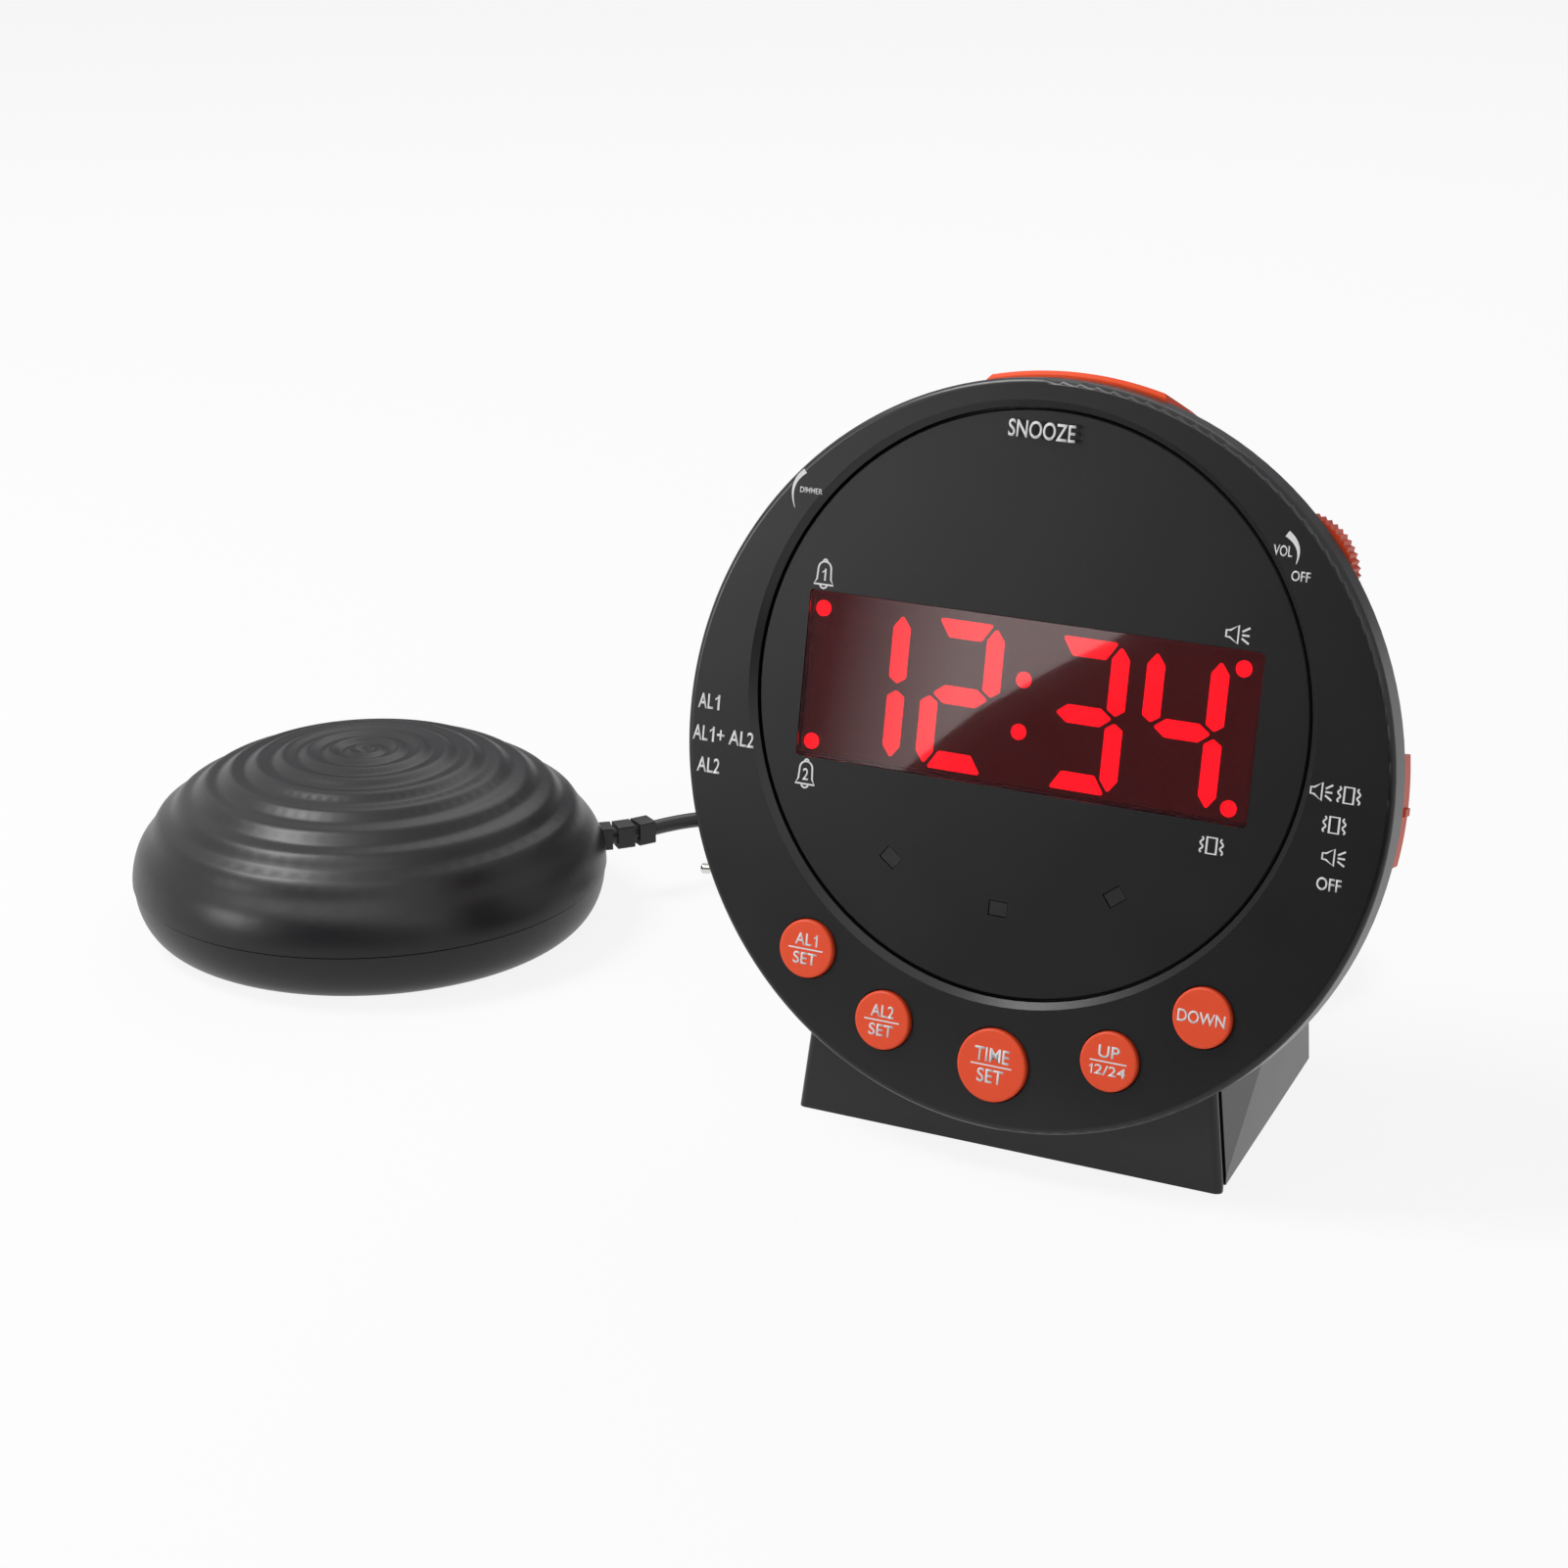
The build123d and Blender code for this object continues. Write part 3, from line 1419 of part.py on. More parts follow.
def shaker_strain_relief():
    """A bent boot with square ribs, held by a flange inside the puck."""
    start = (*polar(relief_start() - relief_flange_depth, relief_angle), relief_height)
    skin = (*polar(relief_start(), relief_angle), relief_height)
    middle = (*relief_place(0.5)[:2], relief_height)
    end = (*relief_place(1)[:2], relief_height)
    path = Wire([Line(start, skin).edge(), ThreePointArc(skin, middle, end).edge()])
    relief = sweep(Plane(origin=path @ 0, z_dir=path % 0) * Circle(relief_core_radius), path=path)
    first = relief_length - relief_tip - relief_rib_length / 2
    ribs = []
    for index in range(relief_ribs):
        along = first - index * (relief_rib_length + relief_rib_gap)
        x, y, heading = relief_place(along / relief_length)
        rib = Box(relief_rib_length, relief_rib_width, relief_rib_height)
        rib = fillet(rib.edges().filter_by(Axis.X), relief_rib_edge)
        ribs.append(Pos(x, y, relief_height) * Rot(0, 0, heading) * rib)
    puck = dome_solid(-fixed_gap, shaker_foot_height)
    for rib in ribs:
        relief += rib - puck
    flange = Cylinder(relief_flange_radius, relief_flange_depth, align=BOTTOM)
    flange = relief_axis(relief_start() - relief_flange_depth) * flange
    relief += flange & dome_solid(shaker_dome_wall + fixed_gap, shaker_seam + fixed_gap)
    return at_shaker(relief)


# Cord, with points chosen by hand
shaker_run_points = [
    (-126.946, 55.368, 15.4),
    (-121.406, 65.787, 15.4),
    (-114.5, 77.0, 11.9),
    (-105.5, 87.5, 6.8),
    (-92.0, 95.5, 3.2),
    (-74.0, 97.5, 2.0),
    (-54.0, 99.0, 2.0),
    (-36.0, 97.5, 2.2),
    (-18.0, 88.7, 2.65),
    (0.5, 88.7, 2.65),
]
plug_run_points = [
    (-22.675, 73.425, 14.5),
    (-22.675, 81.9, 14.5),
    (-27.7, 88.8, 13.4),
    (-35.9, 91.3, 11.2),
    (-47.0, 88.2, 7.4),
    (-58.5, 83.2, 4.8),
    (-67.531, 80.316, 4.3),
    (-77.270, 76.962, 4.3),
]
corner_share = 0.45  # of the shorter run beside a corner, which its arc takes up


def cord_path(name, points):
    """Straight runs joined by arcs as large as the runs allow."""
    radii = []
    for before, corner, after in zip(points, points[1:], points[2:]):
        first = Vector(*corner) - Vector(*before)
        second = Vector(*after) - Vector(*corner)
        half_turn = radians(first.get_angle(second)) / 2
        radii.append(corner_share * min(first.length, second.length) / tan(half_turn))
    print(name, "radii", [round(radius, 1) for radius in radii])
    return FilletPolyline(*points, radius=radii)


def tube(name, path):
    """A cord's solid along a path, with its volume checked against its length."""
    cord = sweep(Plane(origin=path @ 0, z_dir=path % 0) * Circle(cord_diameter / 2), path=path)
    expected = pi * (cord_diameter / 2) ** 2 * path.length
    print(name, "length", round(path.length, 1), "volume over expected", round(cord.volume / expected, 4))
    return cord


def half_turn(start, radius, side, rise=0.0):
    """Half a turn clockwise: side is 1 past the east of the coil and -1 past its west."""
    x, y, z = start
    middle = (x + side * hypot(2 * radius, rise) / 2, y - side * radius, z + rise / 2)
    return ThreePointArc(start, middle, (x, y - 2 * side * radius, z + rise))


def coil_path():
    """Layers that spiral in and out again, and climb in the half turn where they reverse."""
    start = (coil_x, coil_y + coil_outer_radius, coil_height)
    edges = [Line((coil_x - cord_diameter, *start[1:]), start)]
    side = 1
    for layer in range(coil_layers):
        steps = list(range(coil_half_turns))
        climb = coil_half_turns
        if layer % 2:
            steps.reverse()
            climb = -1
        for step in steps:
            edges.append(half_turn(tuple(edges[-1] @ 1), coil_outer_radius - step * coil_step, side))
            side = -side
        if layer < coil_layers - 1:
            radius = coil_outer_radius - climb * coil_step
            edges.append(half_turn(tuple(edges[-1] @ 1), radius, side, coil_pitch))
            side = -side
    x, y, z = tuple(edges[-1] @ 1)
    radius = coil_outer_radius + coil_step
    corner = polar(radius, 225, (x, y + radius))
    edges.append(ThreePointArc((x, y, z), (*corner, z), (x - radius, y + radius, z)))
    edges.append(Line((x - radius, y + radius, z), (x - radius, y + radius + cord_diameter, z)))
    return edges


def coil_gap(edges):
    """The least gap between one turn and another, measured on points."""
    shares = [step / coil_samples for step in range(coil_samples)]
    places = [tuple(edge @ share) for edge in edges[1:-1] for share in shares]
    least = coil_outer_radius
    for index, place in enumerate(places):
        for other in places[index + coil_samples:]:
            least = min(least, dist(place, other))
    return least - cord_diameter


def cord_tie():
    """A flat strap round the coil's turns, lying on the table."""
    inner = coil_outer_radius - coil_half_turns * coil_step - cord_diameter / 2 - tie_inner_gap
    outer = coil_outer_radius + cord_diameter / 2 + tie_gap
    top = coil_height + (coil_layers - 1) * coil_pitch + cord_diameter / 2 + tie_gap
    width = outer - inner
    height = top - tie_thickness
    corner = cord_diameter / 2
    outline = RectangleRounded(width + 2 * tie_thickness, height + 2 * tie_thickness, corner + tie_thickness)
    outline -= RectangleRounded(width, height, corner)
    strap = Rot(90, 0, 0) * extrude(outline, tie_width / 2, both=True)
    return Pos(coil_x + (inner + outer) / 2, coil_y + coil_step, tie_thickness + height / 2) * strap


def along_plug(radius, start, length):
    """A cylinder on the plug's axis, measured from its tip."""
    return Pos(start, 0, 0) * Rot(0, 90, 0) * Cylinder(radius, length, align=BOTTOM)


def at_plug(shape):
    return Pos(plug_tip_x, plug_tip_y, plug_height) * Rot(0, 0, plug_angle) * shape


def plug_pin():
    pin = along_plug(plug_pin_radius, 0, plug_pin_length)
    pin = fillet(pin.edges().group_by(Axis.X)[0], plug_pin_tip)
    ring = along_plug(2 * plug_pin_radius, plug_pin_neck_start, plug_pin_neck_width)
    ring -= along_plug(plug_pin_radius - plug_pin_neck, 0, plug_pin_length)
    return at_plug(pin - ring)


def plug_sleeve():
    """The moulded body of the plug, with a tapered tail to the cord."""
    body = along_plug(plug_sleeve_radius, plug_pin_length, plug_sleeve_length)
    body = fillet(body.edges(), plug_edge)
    tail_start = plug_pin_length + plug_sleeve_length
    tail = Cone(plug_tail_root_radius, plug_tail_radius, plug_tail_length, align=BOTTOM)
    return at_plug(body + Pos(tail_start, 0, 0) * Rot(0, 90, 0) * tail)


# Write every piece
os.makedirs("parts", exist_ok=True)
head_pieces = {
    "front_bezel": front_bezel(),
    "face_panel": face_panel(),
    "display_window": display_window(),
    "display_block": display_block(),
    "lit_segments": lit_segments(),
    "indicator_leds": indicator_leds(),
    "alert_leds": alert_leds(),
    "main_board": main_board(),
    "tact_switches": tact_switches(),
    "volume_wheel": thumb_wheel(wheel_places[0]),
    "volume_pot": rotary_pot(wheel_places[0]),
    "dimmer_wheel": thumb_wheel(wheel_places[1]),
    "dimmer_pot": rotary_pot(wheel_places[1]),
    "mode_slider": side_slider(0),
    "mode_switch": side_switch(-mode_turn() / 2),
    "alarm_selector": side_slider(alarm_side),
    "selector_switch": side_switch(alarm_side + alarm_turn() / 2),
    "snooze_bar": snooze_bar(),
    "snooze_switch": snooze_switch(),
    "rear_housing": rear_housing(),
    "case_screws": case_screws(),
    "speaker": speaker(),
    "dc_jack": dc_jack(),
    "shaker_jack": shaker_jack(),
    "battery_cells": battery_cells(),
    "battery_contacts": battery_contacts(),
    "battery_door": battery_door(),
}
for index, name in enumerate(button_names):
    head_pieces[name] = button(index)
for name, piece in head_pieces.items():
    keep(name, on_head(piece))

coil_edges = coil_path()
print("coil least gap to itself", round(coil_gap(coil_edges), 2))
other_pieces = {
    "stand_shell": stand_shell(),
    "stand_front_plate": stand_front_plate(),
    "stand_base": stand_base(),
    "base_pad": base_pad(),
    "base_screws": base_screws(),
    "stand_screws": stand_screws(),
    "shaker_top_shell": shaker_top_shell(),
    "shaker_bottom_shell": shaker_bottom_shell(),
    "shaker_feet": shaker_feet(),
    "shaker_screws": shaker_screws(),
    "shaker_motor": shaker_motor(),
    "motor_shaft": motor_shaft(),
    "eccentric_weight": eccentric_weight(),
    "motor_clamp": motor_clamp(),
    "clamp_screws": clamp_screws(),
    "shaker_strain_relief": shaker_strain_relief(),
    "cord_shaker_run": tube("shaker run", cord_path("shaker run", shaker_run_points)),
    "cord_coil": tube("coil", Wire(coil_edges)),
    "cord_plug_run": tube("plug run", cord_path("plug run", plug_run_points)),
    "cord_tie": cord_tie(),
    "plug_sleeve": plug_sleeve(),
    "plug_pin": plug_pin(),
}
for name, piece in other_pieces.items():
    keep(name, piece)
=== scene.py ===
# %% [markdown]
# A bed shaker alarm clock, dressed for its picture.
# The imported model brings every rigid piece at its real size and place.
# This lesson adds what a drawing of solids leaves out: the cord that lies on the table, the print on
# the face, and the finish of each surface.

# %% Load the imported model
from math import cos, pi, radians, sin

import bmesh
import bpy
from mathutils import Matrix, Vector


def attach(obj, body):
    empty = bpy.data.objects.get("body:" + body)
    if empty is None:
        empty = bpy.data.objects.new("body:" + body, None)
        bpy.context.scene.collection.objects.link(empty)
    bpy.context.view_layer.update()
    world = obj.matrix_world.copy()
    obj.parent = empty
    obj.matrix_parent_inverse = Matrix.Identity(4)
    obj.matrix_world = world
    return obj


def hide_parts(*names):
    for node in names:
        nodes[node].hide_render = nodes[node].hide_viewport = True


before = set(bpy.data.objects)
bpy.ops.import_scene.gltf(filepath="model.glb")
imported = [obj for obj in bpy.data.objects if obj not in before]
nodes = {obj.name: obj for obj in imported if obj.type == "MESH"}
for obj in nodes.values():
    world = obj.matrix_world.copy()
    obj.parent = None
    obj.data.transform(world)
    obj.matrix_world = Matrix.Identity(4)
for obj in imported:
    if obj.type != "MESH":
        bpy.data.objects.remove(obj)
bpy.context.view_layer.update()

scene = bpy.context.scene
mm = 0.001
print("nodes loaded:", len(nodes))

# %% [markdown]
# The camera comes first, because the cord's unseen length has to stay where this view doesn't reach.
# Its place and its three turns were worked out from the rim of the disc and the edges of the stand,
# as the photograph shows them.

# %% Camera
camera_place = Vector((244.22, -604.41, 309.02)) * mm
camera_yaw = -0.472  # radians, from +Y towards +X
camera_pitch = -0.358
camera_roll = -0.009
sensor_width = 36.0  # millimetres, which the lens is counted in
photo_width = 1601  # pixels, and so is the focal length as it was worked out
focal_pixels = 3584.5
ahead = cos(camera_pitch)
forward = Vector((sin(camera_yaw) * ahead, cos(camera_yaw) * ahead, sin(camera_pitch)))
level_right = Vector((cos(camera_yaw), -sin(camera_yaw), 0))
level_up = level_right.cross(forward)
right = cos(camera_roll) * level_right + sin(camera_roll) * level_up
up = -sin(camera_roll) * level_right + cos(camera_roll) * level_up
camera_data = bpy.data.cameras.new("camera")
camera_data.sensor_width = sensor_width
camera_data.lens = focal_pixels / photo_width * sensor_width
camera = bpy.data.objects.new("camera", camera_data)
turn = Matrix((right, up, -forward)).transposed().to_4x4()
camera.matrix_world = Matrix.Translation(camera_place) @ turn
scene.collection.objects.link(camera)
scene.camera = camera
print("lens", round(camera_data.lens, 2), "mm")

# %% [markdown]
# The cord is one flexible lead of about 1.9 m. It leaves the shaker through its ribbed boot, comes
# down to the table, runs behind the clock, lies there in a tied coil and comes back to its plug.
# A tube could be modelled ring by ring, but a curve with a round bevel needs only its middle line.
# It runs smoothly through few points, so those of the free runs are given one by one.

# %% The cord's free runs
cord_diameter = 3.5  # this and all of the cord's points are in millimetres
shaker_run = [
    (-126.946, 55.368, 15.4),
    (-121.406, 65.787, 15.4),
    (-114.5, 77.0, 11.9),
    (-105.5, 87.5, 6.8),
    (-92.0, 95.5, 3.2),
    (-74.0, 97.5, 2.0),
    (-54.0, 99.0, 2.0),
    (-36.0, 97.5, 2.2),
    (-18.0, 88.7, 2.65),
    (0.5, 88.7, 2.65),
]
plug_run = [
    (-22.675, 73.425, 14.5),
    (-22.675, 81.9, 14.5),
    (-27.7, 88.8, 13.4),
    (-35.9, 91.3, 11.2),
    (-47.0, 88.2, 7.4),
    (-58.5, 83.2, 4.8),
    (-67.531, 80.316, 4.3),
    (-77.27, 76.962, 4.3),
]
print("points chosen by hand:", len(shaker_run) + len(plug_run))

# %% [markdown]
# The coil lies in layers that spiral in and out. Its turns repeat, so a loop works them out, half a
# turn at a time: each half keeps its own radius, and the next one starts where it ends. A NURBS line
# of order 3 passes inside its points, by an amount that depends on the points in a turn, so the
# coil's points stand that much further out.

# %% The cord's coil
coil_centre = (4.0, 64.0)
coil_radius = 24.7  # of the outermost turn
coil_pitch = 3.95  # from turn to turn, and from layer to layer
coil_floor = 2.65  # the lowest layer's middle above the table
coil_layers = 4
half_turns = 6  # in a layer, before the half turn that climbs
points_in_half_turn = 8


def half_turn_points(start, radius, side, rise, share=1.0):
    """Points of half a turn clockwise, or of a share of one, and the place where it ends."""
    x, y, z = start
    spacing = pi / points_in_half_turn
    kept = 0.75 + 0.25 * cos(spacing)  # the curve's mean radius, of its points' radius
    reach = radius / kept
    made = []
    for step in range(round(points_in_half_turn * share)):
        angle = (step + 0.5) * spacing
        across = side * reach * sin(angle)
        along = side * (reach * cos(angle) - radius)
        made.append((x + across, y + along, z + rise * angle / pi))
    return made, (x, y - 2 * side * radius, z + rise)


def coil_points():
    """Layers that spiral in and out, and climb in the half turn where they reverse."""
    place = (coil_centre[0], coil_centre[1] + coil_radius, coil_floor)
    step = coil_pitch / 2
    made = []
    side = 1
    for layer in range(coil_layers):
        inwards = layer % 2 == 0
        order = range(half_turns) if inwards else reversed(range(half_turns))
        radii = [(coil_radius - index * step, 0.0) for index in order]
        if layer < coil_layers - 1:
            climb = half_turns if inwards else -1
            radii.append((coil_radius - climb * step, coil_pitch))
        for radius, rise in radii:
            arc, place = half_turn_points(place, radius, side, rise)
            made += arc
            side = -side
    arc, place = half_turn_points(place, coil_radius + step, side, 0.0, share=0.5)
    return made + arc


coil = coil_points()
print("points in the coil:", len(coil))


# %% [markdown]
# The imported model has the cord as three stiff pieces, and one smooth curve takes their place.


# %% Cord
def smooth_curve(name, points, radius):
    """A round cord along a NURBS line through these control points, in millimetres."""
    curve = bpy.data.curves.new(name, "CURVE")
    curve.dimensions = "3D"
    spline = curve.splines.new("NURBS")
    spline.points.add(len(points) - 1)
    for target, point in zip(spline.points, points):
        target.co = (*(value * mm for value in point), 1.0)
        target.radius = radius * mm  # with a bevel of 1, so that the curve's own box is right
    spline.order_u = 3
    spline.use_endpoint_u = True
    spline.resolution_u = 6
    curve.bevel_depth = 1.0
    curve.bevel_resolution = 5
    curve.use_fill_caps = True
    piece = bpy.data.objects.new(name, curve)
    scene.collection.objects.link(piece)
    return piece


cord_points = shaker_run + coil + plug_run
cord = smooth_curve("cord", cord_points, cord_diameter / 2)
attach(cord, "root")
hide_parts("cord_shaker_run", "cord_coil", "cord_plug_run")
print("cord control points:", len(cord_points))

# %% [markdown]
# A surface in Blender is a tree of nodes, which could be joined up one line at a time. Shader sums
# read best as plain Python, so one small class wraps a socket and lends it the usual operators.


# %% Sums in a shader
class Value:
    """A number that a shader works out, which Python's own operators can reckon with."""

    def __init__(self, owner, socket):
        self.owner = owner
        self.socket = socket

    def math(self, operation, first, second):
        return self.owner.node("ShaderNodeMath", {"operation": operation}, {0: first, 1: second})

    def __add__(self, other):
        return self.math("ADD", self, other)

    __radd__ = __add__

    def __sub__(self, other):
        return self.math("SUBTRACT", self, other)

    def __rsub__(self, other):
        return self.math("SUBTRACT", other, self)

    def __mul__(self, other):
        return self.math("MULTIPLY", self, other)

    __rmul__ = __mul__

    def output(self, name):
        """Another output of the same node."""
        return Value(self.owner, self.socket.node.outputs[name])


print("a value can be added, taken away and multiplied")


# %% [markdown]
# Every other node comes from one method, which sets the node up and then fills its sockets. The
# world has a tree of nodes too, so this class knows nothing of materials.


# %% A tree of nodes
class Nodes:
    """A tree of shader nodes, for a material or for the world."""

    def __init__(self, tree):
        self.tree = tree
        self.tree.nodes.clear()

    def node(self, kind, settings=None, sockets=None):
        """Make a node, set it up, fill its sockets, and return its first output."""
        made = self.tree.nodes.new(kind)
        for name, value in (settings or {}).items():
            setattr(made, name, value)
        for name, value in (sockets or {}).items():
            target = made.inputs[name]
            if isinstance(value, Value):
                self.tree.links.new(value.socket, target)
            else:
                target.default_value = value
        return Value(self, made.outputs[0] if made.outputs else None)

    def spread(self, value, low, high):
        """Stretch a value so that low becomes 0 and high becomes 1, and hold it there."""
        sockets = {"Value": value, "From Min": low, "From Max": high}
        return self.node("ShaderNodeMapRange", {"clamp": True}, sockets)

    def backdrop_rays(self):
        """1 for rays that come straight from the camera, from a mirror or through glass, or else 0."""
        rays = self.node("ShaderNodeLightPath")
        seen = rays.output("Is Camera Ray") + rays.output("Is Glossy Ray")
        return self.spread(seen + rays.output("Is Transmission Ray"), 0.0, 1.0)


print("packed materials:", len(bpy.data.materials))


# %% [markdown]
# A material adds what the finishes here are made of: the place on the object, soft noise, a blend
# of two colours, bumps, and the Principled shader that takes them all in.


# %% A material
class Surface(Nodes):
    """One material, built node by node."""

    def __init__(self, name):
        self.material = bpy.data.materials.new(name)
        self.material.use_nodes = True
        super().__init__(self.material.node_tree)

    def place(self):
        """The point on the object, in metres."""
        return self.node("ShaderNodeTexCoord").output("Object")

    def noise(self, size, detail=2.0, roughness=0.5):
        """Soft random values between 0 and 1, with lumps about size millimetres across."""
        scale = 1 / (size * mm)
        sockets = {"Vector": self.place(), "Scale": scale, "Detail": detail, "Roughness": roughness}
        return self.node("ShaderNodeTexNoise", None, sockets)

    def blend(self, amount, first, second):
        """Mix two colours."""
        mix = self.node("ShaderNodeMix", {"data_type": "RGBA"}).socket.node
        for name, value in {"Factor": amount, "A": first, "B": second}.items():
            kind = "VALUE" if name == "Factor" else "RGBA"
            target = next(s for s in mix.inputs if s.name == name and s.type == kind)
            if isinstance(value, Value):
                self.tree.links.new(value.socket, target)
            else:
                target.default_value = value
        return Value(self, next(s for s in mix.outputs if s.type == "RGBA"))

    def bump(self, height, depth):
        """Turn heights between 0 and 1 into a bumpy normal, depth in millimetres."""
        sockets = {"Height": height, "Distance": depth * mm, "Strength": 1.0}
        return self.node("ShaderNodeBump", None, sockets)

    def finish(self, sockets):
        """Close the material with a Principled shader."""
        shader = self.node("ShaderNodeBsdfPrincipled", None, sockets)
        self.node("ShaderNodeOutputMaterial", None, {"Surface": shader})
        return self.material


def dress(material, *names):
    """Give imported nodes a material."""
    for name in names:
        mesh = nodes[name].data
        mesh.materials.clear()
        mesh.materials.append(material)


print("nodes to dress:", len(nodes))

# %% [markdown]
# Moulded plastic is never one flat colour. The tool leaves a very fine spark texture that breaks
# up the gloss, the gloss drifts a little from place to place, and the colour has a faint fleck.
# A photograph of plastic could be wrapped round it, but noise has no seams and stays sharp however
# near the camera comes.

# %% Black shells
cloud_size = 18.0  # millimetres, how far apart the slow changes of colour and gloss lie
cloud_range = (0.3, 0.7)
gloss_drift = 0.05
speck_size = 1.7  # of the grain's size
speck_range = (0.62, 0.72)  # only the highest values of the noise become specks
speck_strength = 0.5


def moulded(name, colour, roughness, grain=0.35, grain_depth=0.006, fleck=0.12, gloss=0.5):
    """Spark textured plastic: grain is the size of its texture in millimetres."""
    surface = Surface(name)
    texture = surface.noise(grain, detail=3.0, roughness=0.6)
    cloud = surface.noise(cloud_size, detail=3.0)
    specks = surface.spread(surface.noise(grain * speck_size, detail=1.0), *speck_range)
    pale = tuple(min(1.0, channel * (1 + 2 * fleck) + 0.01 * fleck) for channel in colour)
    deep = tuple(channel * (1 - fleck) for channel in colour)
    base = surface.blend(surface.spread(cloud, *cloud_range), (*deep, 1), (*colour, 1))
    base = surface.blend(specks * speck_strength, base, (*pale, 1))
    rough = roughness + (cloud - 0.5) * gloss_drift + (texture - 0.5) * gloss_drift
    return surface.finish(
        {
            "Base Color": base,
            "Roughness": rough,
            "Normal": surface.bump(texture, grain_depth),
            "Specular IOR Level": gloss,
        }
    )


black_shell = moulded("black_shell", (0.0075, 0.0075, 0.0088), 0.30, gloss=0.4)
black_panel = moulded("black_panel", (0.0070, 0.0070, 0.0082), 0.31, gloss=0.4)
puck_shell = moulded("puck_shell", (0.0085, 0.0076, 0.0092), 0.36, grain=0.3, gloss=0.38)
dress(black_shell, "front_bezel", "rear_housing", "battery_door")
dress(black_shell, "stand_shell", "stand_front_plate", "stand_base")
dress(black_panel, "face_panel")
dress(puck_shell, "shaker_top_shell", "shaker_bottom_shell")
print("black plastics made")

# %% [markdown]
# The same recipe serves the orange controls and the plain black parts behind them. The controls are
# smoother than the shells, so their fleck and their texture are weaker.

# %% Controls
polished = {"fleck": 0.03, "grain_depth": 0.003, "gloss": 0.3}
orange_snooze = moulded("orange_snooze", (0.86, 0.072, 0.008), 0.42, **polished)
orange_button = moulded("orange_button", (0.74, 0.068, 0.018), 0.40, **polished)
control_black = moulded("control_black", (0.012, 0.012, 0.012), 0.5)
dress(orange_snooze, "snooze_bar")
buttons = ["alarm_1_button", "alarm_2_button", "time_button", "up_button", "down_button"]
dress(orange_button, *buttons, "volume_wheel", "dimmer_wheel", "mode_slider", "alarm_selector")
switches = ["tact_switches", "snooze_switch", "mode_switch", "selector_switch", "volume_pot", "dimmer_pot"]
dress(control_black, *switches, "dc_jack", "shaker_jack", "motor_clamp", "cord_tie")
print("orange buttons:", len(buttons))

# %% [markdown]
# Rubber is softer than plastic: it is matte, with a waxy sheen, and its surface rolls slightly.
# The cord's jacket is drawn through a die, so it is smoother and shinier than the moulded boot.

# %% Rubber and cord
sheen_drift = 0.12


def rubber(name, colour, roughness, lumps, depth):
    """Matte rubber: lumps is how wide its waves are, and depth how deep, in millimetres."""
    surface = Surface(name)
    texture = surface.noise(lumps, detail=4.0)
    rough = roughness + (texture - 0.5) * sheen_drift
    pale = tuple(2 * channel for channel in colour)
    return surface.finish(
        {
            "Base Color": surface.blend(texture, (*colour, 1), (*pale, 1)),
            "Roughness": rough,
            "Normal": surface.bump(texture, depth),
            "Specular IOR Level": 0.5,
        }
    )


foot_rubber = rubber("foot_rubber", (0.012, 0.012, 0.012), 0.75, 0.6, 0.02)
cord_jacket = rubber("cord_jacket", (0.0060, 0.0050, 0.0070), 0.30, 2.5, 0.008)
boot_rubber = rubber("boot_rubber", (0.0065, 0.0060, 0.0068), 0.42, 0.8, 0.012)
dress(foot_rubber, "base_pad", "shaker_feet")
dress(boot_rubber, "shaker_strain_relief", "plug_sleeve")
cord.data.materials.append(cord_jacket)
print("rubber made, and the cord's jacket")

# %% [markdown]
# Metal shows its making: screws and the motor's can are plated steel with fine rolling marks, the
# weight is sintered and dull, and the plug is polished nickel.

# %% Metals
mark_gloss = 0.15  # how much the marks change the roughness
mark_shade = 0.8  # how dark they are, against the bare metal


def metal(name, colour, roughness, marks, depth):
    """Bare metal: marks is the size of its traces of work, and depth how deep, in millimetres."""
    surface = Surface(name)
    streaks = surface.noise(marks, detail=4.0, roughness=0.7)
    rough = roughness + (streaks - 0.5) * mark_gloss
    dark = tuple(mark_shade * channel for channel in colour)
    return surface.finish(
        {
            "Base Color": surface.blend(streaks, (*dark, 1), (*colour, 1)),
            "Metallic": 1.0,
            "Roughness": rough,
            "Normal": surface.bump(streaks, depth),
        }
    )


screw_steel = metal("screw_steel", (0.36, 0.36, 0.38), 0.32, 0.4, 0.004)
motor_steel = metal("motor_steel", (0.62, 0.62, 0.63), 0.28, 0.8, 0.004)
nickel = metal("nickel", (0.80, 0.79, 0.77), 0.16, 0.5, 0.001)
sintered = metal("sintered", (0.55, 0.44, 0.26), 0.5, 0.25, 0.01)
dress(screw_steel, "case_screws", "base_screws", "stand_screws", "clamp_screws", "shaker_screws")
dress(screw_steel, "motor_shaft")
dress(motor_steel, "shaker_motor", "battery_contacts")
dress(sintered, "eccentric_weight")
dress(nickel, "plug_pin")
print("metals made")

# %% [markdown]
# The display is a dark red block with glowing segments on its face, behind a tinted window.
# The glow is plain emission, as strong as white but in red alone, so that it keeps its colour
# under the window's pale glare.

# %% Display
drift_size = 3.0  # millimetres
dim_share = 0.9


def glowing(name, colour, strength):
    """A lit segment, whose brightness drifts slightly."""
    surface = Surface(name)
    drift = surface.noise(drift_size)
    edge = tuple(dim_share * channel for channel in colour)
    return surface.finish(
        {
            "Base Color": (*colour, 1),
            "Emission Color": surface.blend(drift, (*edge, 1), (*colour, 1)),
            "Emission Strength": strength,
            "Roughness": 0.4,
        }
    )


